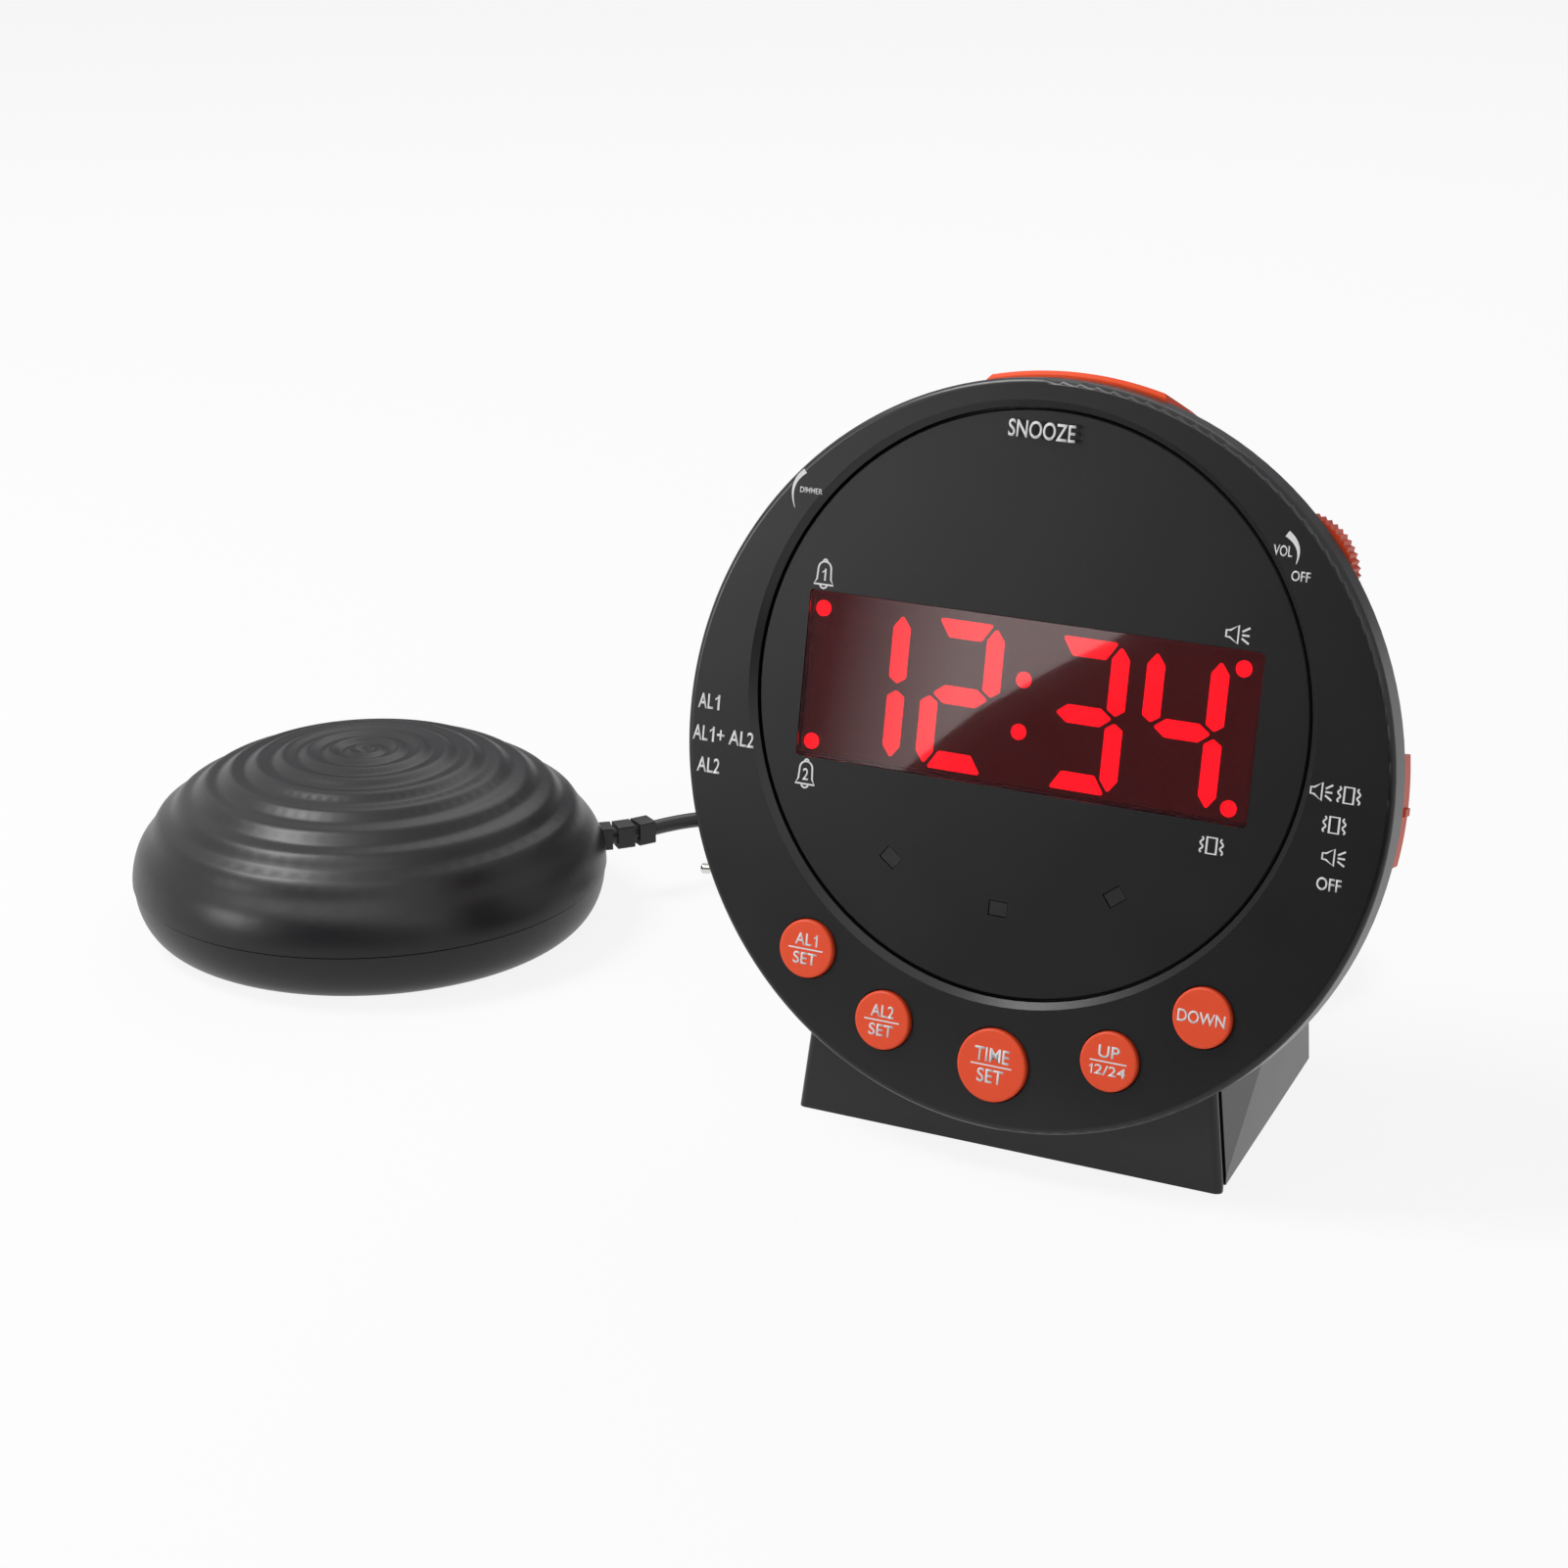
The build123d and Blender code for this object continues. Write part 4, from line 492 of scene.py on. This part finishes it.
lit_red = glowing("lit_red", (1.0, 0.003, 0.032), 1.08)
dress(lit_red, "lit_segments", "indicator_leds")
display_dark = moulded("display_dark", (0.020, 0.0004, 0.0005), 0.6, fleck=0.05, gloss=0.0)
dress(display_dark, "display_block")
alert_lamp = moulded("alert_lamp", (0.012, 0.012, 0.013), 0.3, fleck=0.02)
dress(alert_lamp, "alert_leds")
print("display made")

# %% [markdown]
# The window is a clear sheet with a red tint. Glass of a low index bends the light little, so the
# digits stay where they are, and a coat lays the sharp glare on top. A faint haze lets the tint and
# the gloss drift.

# %% Window
haze_size = 8.0  # millimetres
window_roughness = 0.07
haze_gloss = 0.02  # how much the haze changes the roughness
window = Surface("window")
haze = window.noise(haze_size)
tinted = window.finish(
    {
        "Base Color": window.blend(haze, (1.0, 0.22, 0.25, 1), (1.0, 0.27, 0.30, 1)),
        "Transmission Weight": 1.0,
        "Roughness": window_roughness + haze * haze_gloss,
        "IOR": 1.2,
        "Coat Weight": 0.8,
        "Coat Roughness": 0.02,
    }
)
dress(tinted, "display_window")
print("window made")

# %% [markdown]
# The board, the speaker and the cells lie inside, and show only through the openings of the back or
# when the battery door stands open. Plain moulded recipes are enough for them.

# %% Inner parts
board_green = moulded("board_green", (0.01, 0.09, 0.035), 0.35, fleck=0.1)
dress(board_green, "main_board")
speaker_grey = moulded("speaker_grey", (0.03, 0.03, 0.03), 0.6)
dress(speaker_grey, "speaker")
cell_skin = moulded("cell_skin", (0.06, 0.06, 0.065), 0.3)
dress(cell_skin, "battery_cells")
print("materials in all:", len(bpy.data.materials))

# %% [markdown]
# The print on the face is ink, thinner than a hair. It could be a picture laid on the plastic, but a
# picture blurs when the camera comes near. So each word or sign is made as a flat solid that stands
# a few hundredths of a millimetre off its surface, placed by its edges on the face.

# %% Places on the face
head_tilt = radians(12.5)
disc_middle = Vector((1.5, -27.6, 80.0)) * mm
print_shift = (-1.5, 0.5, 0)  # the print's own middle, from the disc's, in millimetres
face_up = Vector((0, sin(head_tilt), cos(head_tilt)))
face_out = Vector((0, -cos(head_tilt), sin(head_tilt)))
face_turn = Matrix(
    (
        (mm, 0, 0),
        (0, face_up.y * mm, face_out.y * mm),
        (0, face_up.z * mm, face_out.z * mm),
    )
).to_4x4()
on_head = Matrix.Translation(disc_middle) @ face_turn @ Matrix.Translation(print_shift)
panel_face = 0.0  # heights in millimetres, in front of the panel
ring_face = 1.5
button_face = 2.6
print("middle of the print", [round(value, 4) for value in on_head.translation])

# %% [markdown]
# The ink is a pale grey, duller than the plastic under it.

# %% Ink
ink_thickness = 0.03
ink = moulded("ink", (0.66, 0.66, 0.67), 0.55, fleck=0.02, gloss=0.3)
print("ink is", ink_thickness, "mm thick")

# %% [markdown]
# A stroke is a row of flat pieces with four corners, one for each step from point to point. At every
# point the stroke is cut square to the way from the point before to the one after, so that two
# pieces share their corners there.


# %% Strokes
def stroke_pieces(points, width, closed=False):
    """Outlines of the pieces of a stroke of even width along points."""
    count = len(points)
    rows = []
    for index, (a, b) in enumerate(points):
        before = points[index - 1] if index or closed else points[index]
        after = points[(index + 1) % count] if index < count - 1 or closed else points[index]
        run = Vector((after[0] - before[0], after[1] - before[1])).normalized()
        side = Vector((-run.y, run.x)) * width / 2
        rows.append(((a + side.x, b + side.y), (a - side.x, b - side.y)))
    made = []
    for index in range(count if closed else count - 1):
        following = rows[(index + 1) % count]
        made.append([rows[index][1], following[1], following[0], rows[index][0]])
    return made


triangle = [(0, 0), (1, 0), (0, 1)]
print("pieces round a triangle:", len(stroke_pieces(triangle, 0.1, closed=True)))

# %% [markdown]
# Blender sizes its letters by their type, but what can be read off a photograph is where a word
# begins and ends. So each word is turned into a mesh and stretched to fit between its four edges.
# The real print is bolder than the built-in font, so the letters are made bolder first.

# %% Letters
bolder = 0.012  # how far the letters' outlines are moved outwards, in the font's own units
weld_distance = 1e-5  # in the same units


def fitted_letters(text, across_edges, upward_edges, height):
    """Solid letters that fill the space between these edges, and stand on this height."""
    letters = bpy.data.curves.new("letters", "FONT")
    letters.body = text
    letters.offset = bolder
    holder = bpy.data.objects.new("letters", letters)
    scene.collection.objects.link(holder)
    shown = holder.evaluated_get(bpy.context.evaluated_depsgraph_get())
    made = bpy.data.meshes.new_from_object(shown)
    bpy.data.objects.remove(holder)
    across = [vert.co.x for vert in made.vertices]
    upward = [vert.co.y for vert in made.vertices]
    wide = (across_edges[1] - across_edges[0]) / (max(across) - min(across))
    tall = (upward_edges[1] - upward_edges[0]) / (max(upward) - min(upward))
    solid = bmesh.new()
    solid.from_mesh(made)
    bmesh.ops.remove_doubles(solid, verts=solid.verts, dist=weld_distance)
    raised = bmesh.ops.extrude_face_region(solid, geom=solid.faces[:])["geom"]
    lifted = {vert for vert in raised if isinstance(vert, bmesh.types.BMVert)}
    for vert in solid.verts:
        a = across_edges[0] + (vert.co.x - min(across)) * wide
        b = upward_edges[0] + (vert.co.y - min(upward)) * tall
        vert.co = (a, b, height + (ink_thickness if vert in lifted else 0))
    solid.to_mesh(made)
    solid.free()
    return made


print("letters are made bolder by", bolder)


# %% [markdown]
# All the print on one piece is gathered in one mesh, of flat shapes, strokes and letters.


# %% Print
class Print:
    """Ink on one surface, gathered in one mesh in millimetres on the face."""

    def __init__(self, name, height, body):
        self.name = name
        self.height = height
        self.body = body
        self.mesh = bmesh.new()

    def solid(self, outline):
        """One flat shape with a thickness, from its outline."""
        low = [self.mesh.verts.new((a, b, self.height)) for a, b in outline]
        high = [self.mesh.verts.new((a, b, self.height + ink_thickness)) for a, b in outline]
        self.mesh.faces.new(high)
        self.mesh.faces.new(low[::-1])
        for index, vert in enumerate(low):
            following = (index + 1) % len(low)
            self.mesh.faces.new((vert, low[following], high[following], high[index]))

    def line(self, points, width, closed=False):
        """A stroke of even width along points."""
        for outline in stroke_pieces(points, width, closed):
            self.solid(outline)

    def words(self, text, left, right, low, high):
        """Letters that fill the space between these edges."""
        letters = fitted_letters(text, (left, right), (low, high), self.height)
        self.mesh.from_mesh(letters)
        bpy.data.meshes.remove(letters)

    def one(self, left, right, low, high):
        """A figure 1 with its flag, which the built-in font draws as a bare stroke."""
        stem = (right - left) * 0.42
        flag = (high - low) * 0.26
        thick = stem * 0.85
        self.solid([(right - stem, low), (right, low), (right, high), (right - stem, high)])
        self.solid([(left, high - flag), (left, high - flag - thick), (right, high - thick), (right, high)])

    def finish(self):
        """Put the print on the face and let it ride with its body."""
        bmesh.ops.recalc_face_normals(self.mesh, faces=self.mesh.faces)
        data = bpy.data.meshes.new(self.name)
        self.mesh.to_mesh(data)
        self.mesh.free()
        data.transform(on_head)
        data.materials.append(ink)
        piece = bpy.data.objects.new(self.name, data)
        scene.collection.objects.link(piece)
        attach(piece, self.body)
        print(self.name, "faces:", len(data.polygons))


print("heights to print at:", panel_face, ring_face, button_face)


# %% [markdown]
# The signs are drawn from a few arcs and lines each, so that one function serves every place where
# a sign repeats. Every number in them is a share of the sign's own width or height, so a sign can
# have any size.


# %% Arcs
def arc(centre, radius, start, end, steps=12):
    """Points along an arc, with angles in degrees."""
    made = []
    for step in range(steps + 1):
        angle = radians(start + (end - start) * step / steps)
        made.append((centre[0] + radius * cos(angle), centre[1] + radius * sin(angle)))
    return made


print("points on half a circle:", len(arc((0, 0), 1, 0, 180)))


# %% [markdown]
# A bell stands by each alarm's lamp. One closed stroke goes round its crown and down both sides to
# the flared mouth, a small arc on top is its ring, and one below is its clapper.


# %% Bell
def bell(ink_print, centre, height, number):
    """A bell outline with a flared mouth, and a number inside."""
    a, b = centre
    stroke = height * 0.055
    crown = arc((a, b + height * 0.16), height * 0.22, 180, 0)
    right_side = [(a + height * 0.24, b - height * 0.18), (a + height * 0.34, b - height * 0.34)]
    left_side = [(a - height * 0.34, b - height * 0.34), (a - height * 0.24, b - height * 0.18)]
    ink_print.line(crown + right_side + left_side, stroke, closed=True)
    ink_print.line(arc((a, b + height * 0.38), height * 0.07, 200, -20, 6), stroke)
    ink_print.line(arc((a, b - height * 0.34), height * 0.12, 180, 360, 6), stroke)
    low = b - height * 0.22
    high = b + height * 0.16
    if number == "1":
        ink_print.one(a - height * 0.07, a + height * 0.06, low, high)
    else:
        ink_print.words(number, a - height * 0.1, a + height * 0.1, low, high)


print("bell ready")


# %% [markdown]
# A loudspeaker stands for sound. It is a closed outline, with three rays before its mouth.


# %% Loudspeaker
def loudspeaker(ink_print, left, right, low, high):
    """A loudspeaker outline with three rays."""
    width = right - left
    height = high - low
    middle = (low + high) / 2
    stroke = height * 0.1
    back = left + width * 0.16
    mouth = left + width * 0.52
    body = [
        (left, middle - height * 0.17),
        (back, middle - height * 0.17),
        (mouth, low + height * 0.04),
        (mouth, high - height * 0.04),
        (back, middle + height * 0.17),
        (left, middle + height * 0.17),
    ]
    ink_print.line(body, stroke, closed=True)
    for spread in (-1, 0, 1):
        start = (mouth + width * 0.16, middle + spread * height * 0.17)
        end = (right, middle + spread * height * 0.40)
        ink_print.line([start, end], stroke)


print("loudspeaker ready")


# %% [markdown]
# A shaking phone stands for vibration. It is an upright box between two wavy lines, and a sine gives
# the waves.


# %% Shaking phone
def shaking_phone(ink_print, left, right, low, high, steps=16):
    """An upright box with a wavy line of two full waves at each side."""
    width = right - left
    height = high - low
    middle = (left + right) / 2
    stroke = height * 0.09
    half = width * 0.2
    box = [
        (middle - half, low + stroke),
        (middle + half, low + stroke),
        (middle + half, high - stroke),
        (middle - half, high - stroke),
    ]
    ink_print.line(box, stroke * 1.3, closed=True)
    for side in (-1, 1):
        wave = []
        for step in range(steps + 1):
            share = step / steps
            reach = width * (0.41 + 0.06 * sin(share * 4 * pi))
            wave.append((middle + side * reach, low + height * (0.1 + 0.8 * share)))
        ink_print.line(wave, stroke)


print("shaking phone ready")


# %% [markdown]
# By each thumb wheel is a sickle, blunt at one end and sharp at the other. Three points give its
# bow, and the weights below make a parabola that goes through all three.


# %% Sickle
def crescent(ink_print, start, middle, end, width, steps=14, taper=0.9):
    """A sickle from a blunt start, through the middle of its bow, to a point."""
    points = []
    for step in range(steps + 1):
        share = step / steps
        weights = ((1 - share) * (1 - 2 * share), 4 * share * (1 - share), share * (2 * share - 1))
        a = sum(place[0] * weight for place, weight in zip((start, middle, end), weights))
        b = sum(place[1] * weight for place, weight in zip((start, middle, end), weights))
        points.append(Vector((a, b)))
    edges = ([], [])
    for step, point in enumerate(points):
        run = (points[min(step + 1, steps)] - points[max(step - 1, 0)]).normalized()
        half = Vector((-run.y, run.x)) * width / 2 * (1 - taper * step / steps)
        edges[0].append(tuple(point + half))
        edges[1].append(tuple(point - half))
    for step in range(steps):
        ink_print.solid([edges[0][step], edges[1][step], edges[1][step + 1], edges[0][step + 1]])


print("sickle ready")

# %% [markdown]
# The ring and the panel never move against each other, so each has all of its print in one piece.
# The edges of the words and signs were measured in millimetres, from the middle of the print.

# %% Print on the ring
ring_print = Print("ring_print", ring_face, "root")
ring_print.words("SNOOZE", -8.4, 5.1, 59.9, 63.2)
ring_print.words("DIMMER", -50.4, -45.6, 44.4, 45.5)
crescent(ring_print, (-49.6, 48.6), (-51.8, 45.4), (-51.2, 41.3), 1.0)
ring_print.words("AL", -68.4, -65.1, -0.3, 2.7)
ring_print.one(-64.7, -63.7, -0.3, 2.7)
ring_print.words("AL", -69.0, -65.7, -6.7, -3.7)
ring_print.one(-65.3, -64.3, -6.7, -3.7)
ring_print.words("+ AL2", -63.7, -55.5, -6.7, -3.7)
ring_print.words("AL2", -67.5, -62.5, -12.9, -9.9)
ring_print.words("VOL", 45.7, 49.3, 44.1, 46.1)
ring_print.words("OFF", 49.6, 53.2, 39.9, 41.8)
crescent(ring_print, (48.0, 48.3), (50.2, 46.0), (50.2, 43.0), 1.3)
loudspeaker(ring_print, 57.8, 61.9, 0.8, 4.4)
shaking_phone(ring_print, 62.8, 67.3, 0.8, 4.4)
shaking_phone(ring_print, 60.7, 65.2, -5.0, -1.4)
loudspeaker(ring_print, 61.4, 65.7, -10.8, -7.4)
ring_print.words("OFF", 60.9, 65.6, -15.4, -13.0)
ring_print.finish()

# %% [markdown]
# The panel's signs stand at the four corners of the window, one for each corner lamp.

# %% Print on the panel
panel_print = Print("panel_print", panel_face, "root")
bell(panel_print, (-44.3, 29.2), 6.2, "1")
bell(panel_print, (-44.4, -10.1), 6.2, "2")
loudspeaker(panel_print, 38.0, 42.5, 26.8, 30.5)
shaking_phone(panel_print, 37.3, 42.1, -12.8, -9.1)
panel_print.finish()

# %% [markdown]
# The buttons stand as on the real face, in five places on an arc. The arc's circle was measured
# together with the words' widths, and one row for each button holds what differs between them.

# %% Places of the buttons
button_circle = 59.8  # radius of the arc on which the buttons lie
button_shift = 0.7  # the arc's middle, to the right of the print's middle
button_arc_start = -132.5  # degrees
button_arc = 86.6
button_rows = [  # name, share of the arc, upper words and their width, lower words and their width
    ("alarm_1", 0.0, ("AL1", 4.8), ("SET", 5.0)),
    ("alarm_2", 0.232, ("AL2", 4.9), ("SET", 5.1)),
    ("time", 0.5, ("TIME", 7.2), ("SET", 5.4)),
    ("up", 0.768, ("UP", 4.3), ("12/24", 7.4)),
    ("down", 1.0, ("DOWN", 9.4), None),
]
print("buttons with a print:", len(button_rows))

# %% [markdown]
# Each button carries its own print, which has to travel with the button when it is pressed. All but
# one have two words with a rule between them.

# %% Print on the buttons
legend_height = 2.4
figure_share = 0.8  # the figures of 12/24 are lower than the words
time_share = 1.15  # the middle button is larger, and so is its print
rule_gap = 0.7  # from the rule to the words
rule_reach = 3.7  # from the button's middle
rule_width = 0.28
one_widths = {"AL1": 0.8, "12/24": 0.7}
one_gap = 0.4


def legend(button_print, text, left, right, low, high):
    """Words on a button, in which a figure 1 at either end is drawn by itself."""
    room = one_widths.get(text, 0) + one_gap
    if text.endswith("1"):
        button_print.one(right - one_widths[text], right, low, high)
        button_print.words(text[:-1], left, right - room, low, high)
    elif text.startswith("1"):
        button_print.one(left, left + one_widths[text], low, high)
        button_print.words(text[1:], left + room, right, low, high)
    else:
        button_print.words(text, left, right, low, high)


for name, share, upper, lower in button_rows:
    angle = radians(button_arc_start + button_arc * share)
    a = button_shift + button_circle * cos(angle)
    b = button_circle * sin(angle)
    button_print = Print(f"{name}_print", button_face, f"{name}_button")
    text, width = upper
    if lower:
        scale = time_share if name == "time" else 1.0
        height = legend_height * scale
        low = b + rule_gap
        legend(button_print, text, a - width / 2, a + width / 2, low, low + height)
        text, width = lower
        if text == "12/24":
            height *= figure_share
        high = b - rule_gap
        legend(button_print, text, a - width / 2, a + width / 2, high - height, high)
        reach = rule_reach * scale
        button_print.line([(a - reach, b), (a + reach, b)], rule_width)
    else:
        half = legend_height / 2
        legend(button_print, text, a - width / 2, a + width / 2, b - half, b + half)
    button_print.finish()

# %% [markdown]
# The floor and the screens round the object are flat sheets with a few corners each. They belong to the
# stage and not to the object.


# %% Flat sheets
def level_corners(left, right, front, back, z):
    """The corners of a sheet that lies level."""
    return [(left, front, z), (right, front, z), (right, back, z), (left, back, z)]


def sheet(name, corners, material):
    """A flat stage piece with these corners, in metres."""
    mesh = bpy.data.meshes.new(name)
    mesh.from_pydata(corners, [], [tuple(range(len(corners)))])
    mesh.materials.append(material)
    made = bpy.data.objects.new(name, mesh)
    scene.collection.objects.link(made)
    return made


print("a level sheet has", len(level_corners(0, 1, 0, 1, 0)), "corners")

# %% [markdown]
# A product picture is taken on a white sweep under large soft lights. The sweep is painted nearly
# white and lit a little by itself for the camera, so that it stays pale but keeps a soft shadow.

# %% Floor
floor_half = 3.0  # metres each way
paint_white = 0.82
glow_share = 0.88  # the rest of what the camera sees is paint, with the shadow on it


def neutral(level):
    """A colour between black and white."""
    return (level, level, level, 1)


def white_sweep():
    """A floor that the camera sees as white, with the object's shadow left faintly on it."""
    surface = Surface("white_sweep")
    paint = surface.node("ShaderNodeBsdfDiffuse", None, {"Color": neutral(paint_white)})
    glow = surface.node("ShaderNodeEmission", None, {"Color": neutral(1.0), "Strength": 1.0})
    sockets = {0: surface.backdrop_rays() * glow_share, 1: paint, 2: glow}
    mixed = surface.node("ShaderNodeMixShader", None, sockets)
    surface.node("ShaderNodeOutputMaterial", None, {"Surface": mixed})
    return surface.material


floor_corners = level_corners(-floor_half, floor_half, -floor_half, floor_half, 0)
sheet("floor", floor_corners, white_sweep())
print("floor", 2 * floor_half, "m wide")

# %% [markdown]
# Beyond the far end of the floor the camera sees the world itself. It is as pale there as the
# floor, also in what mirrors it. For all other rays the world is a dim, even sky, which lifts the
# shadows a little.

# %% World
sky_strength = 0.22
world_white = 0.9
world = bpy.data.worlds.new("studio")
world.use_nodes = True
scene.world = world
studio = Nodes(world.node_tree)
sky = studio.node("ShaderNodeBackground", None, {"Color": neutral(1.0), "Strength": sky_strength})
white = studio.node("ShaderNodeBackground", None, {"Color": neutral(world_white)})
either = studio.node("ShaderNodeMixShader", None, {0: studio.backdrop_rays(), 1: sky, 2: white})
studio.node("ShaderNodeOutputWorld", None, {"Surface": either})
print("world nodes:", len(world.node_tree.nodes))

# %% [markdown]
# Black plastic shows mostly what it mirrors, so a photographer hangs dark cloth where it would
# mirror the bright room. Two dark sheets in front keep the face black. A grey one stands behind, for
# the edges that mirror the far side, and a bright card hangs overhead, for what faces up. Only
# reflections see these sheets, so they neither light the object nor hide it.

# %% Screens that only reflections see
screen_half = 1.9  # metres each way along X
front_screen = -1.30  # along Y
front_height = 0.75
apron_height = 0.0005  # just above the floor
apron_edge = -0.22
rear_screen = 1.6
rear_height = 1.1
overhead_sides = (-1.3, 0.5)  # along X
overhead_ends = (-1.25, -0.35)  # along Y
overhead_height = 1.3
fade_colour = (0.06, 0.05, 0.05, 1)


def upright_corners(left, right, y, height):
    """The corners of a sheet that stands on the table."""
    return [(left, y, 0), (right, y, 0), (right, y, height), (left, y, height)]


def screen(name, corners, colour, strength, fade=None):
    """A flat sheet that only glossy rays meet, dimmed where its X lies towards the start of fade."""
    surface = Surface(name)
    shown = (*colour, 1)
    if fade:
        across = surface.node("ShaderNodeSeparateXYZ", None, {0: surface.place()})
        shown = surface.blend(surface.spread(across, *fade), fade_colour, shown)
    sockets = {"Base Color": (0, 0, 0, 1), "Roughness": 1.0, "Specular IOR Level": 0.0}
    sockets.update({"Emission Color": shown, "Emission Strength": strength})
    made = sheet(name, corners, surface.finish(sockets))
    made.visible_camera = False
    made.visible_diffuse = False
    made.visible_shadow = False
    made.visible_transmission = False


front = upright_corners(-screen_half, screen_half, front_screen, front_height)
screen("dark_screen", front, (0.03, 0.03, 0.03), 1.0)
apron = level_corners(-screen_half, screen_half, front_screen, apron_edge, apron_height)
screen("dark_apron", apron, (0.10, 0.10, 0.10), 1.0)
rear = upright_corners(-screen_half, screen_half, rear_screen, rear_height)
screen("grey_screen", rear, (0.24, 0.24, 0.25), 1.0)
overhead = level_corners(*overhead_sides, *overhead_ends, overhead_height)
screen("overhead_card", overhead, (1.0, 0.99, 1.0), 2.4)
print("screens reach", 2 * screen_half, "m across")

# %% [markdown]
# One more bright card lays the glare on the left of the window. Its edge is drawn as it shows in the
# face: each point is sent from the camera to the face, and mirrored there onto the card.

# %% Glare card
card_gap = 0.02  # the card stands this far before the dark screen
glare_edge = [(17, 25), (5, 17.5), (-10, 7), (-24, -6.5), (-31, -15)]  # as it shows in the face
glare_rest = [(-60, -60), (-200, -60), (-200, 120), (40, 60), (24, 30)]
fade_places = [(-42, 8), (-14, 8)]  # the glare is dim at the first and full at the second


def mirrored(a, b, distance):
    """Where the camera's ray to a point of the face lands after its reflection."""
    start = on_head @ Vector((a, b, 0))
    ray = (start - camera_place).normalized()
    ray = ray - 2 * ray.dot(face_out) * face_out
    return start + ray * ((distance - start.y) / ray.y)


card_place = front_screen + card_gap
glare = [mirrored(a, b, card_place) for a, b in glare_edge + glare_rest]
fade = [mirrored(a, b, card_place).x for a, b in fade_places]
screen("glare_card", glare, (1.0, 0.97, 0.96), 3.2, fade)
print("glare card reaches x", round(max(place.x for place in glare), 2))

# %% [markdown]
# The lamps are square, as soft boxes are: the key from above on the left draws the shadow, and three
# weaker ones open the dark sides. Places and sizes are in metres, and power in watts.

# %% Lights
lamp_target = Vector((0.0, 0.0, 0.07))


def soft_light(name, place, size, power):
    """A square lamp that faces the object."""
    data = bpy.data.lights.new(name, "AREA")
    data.size = size
    data.energy = power
    lamp = bpy.data.objects.new(name, data)
    lamp.location = place
    lamp.rotation_euler = (lamp_target - Vector(place)).to_track_quat("-Z", "Y").to_euler()
    scene.collection.objects.link(lamp)


soft_light("key", (-0.75, -0.35, 1.25), 0.55, 14)
soft_light("side", (-0.99, -1.06, 0.38), 0.4, 6)
soft_light("fill", (0.9, -0.9, 0.7), 1.0, 2)
soft_light("back", (-0.25, 1.0, 1.1), 1.0, 4)
scene.view_settings.view_transform = "Standard"
print("lamps:", len(bpy.data.lights))

# %% [markdown]
# Last comes a line that says the scene is finished.

# %% End of the scene
print("scene finished")
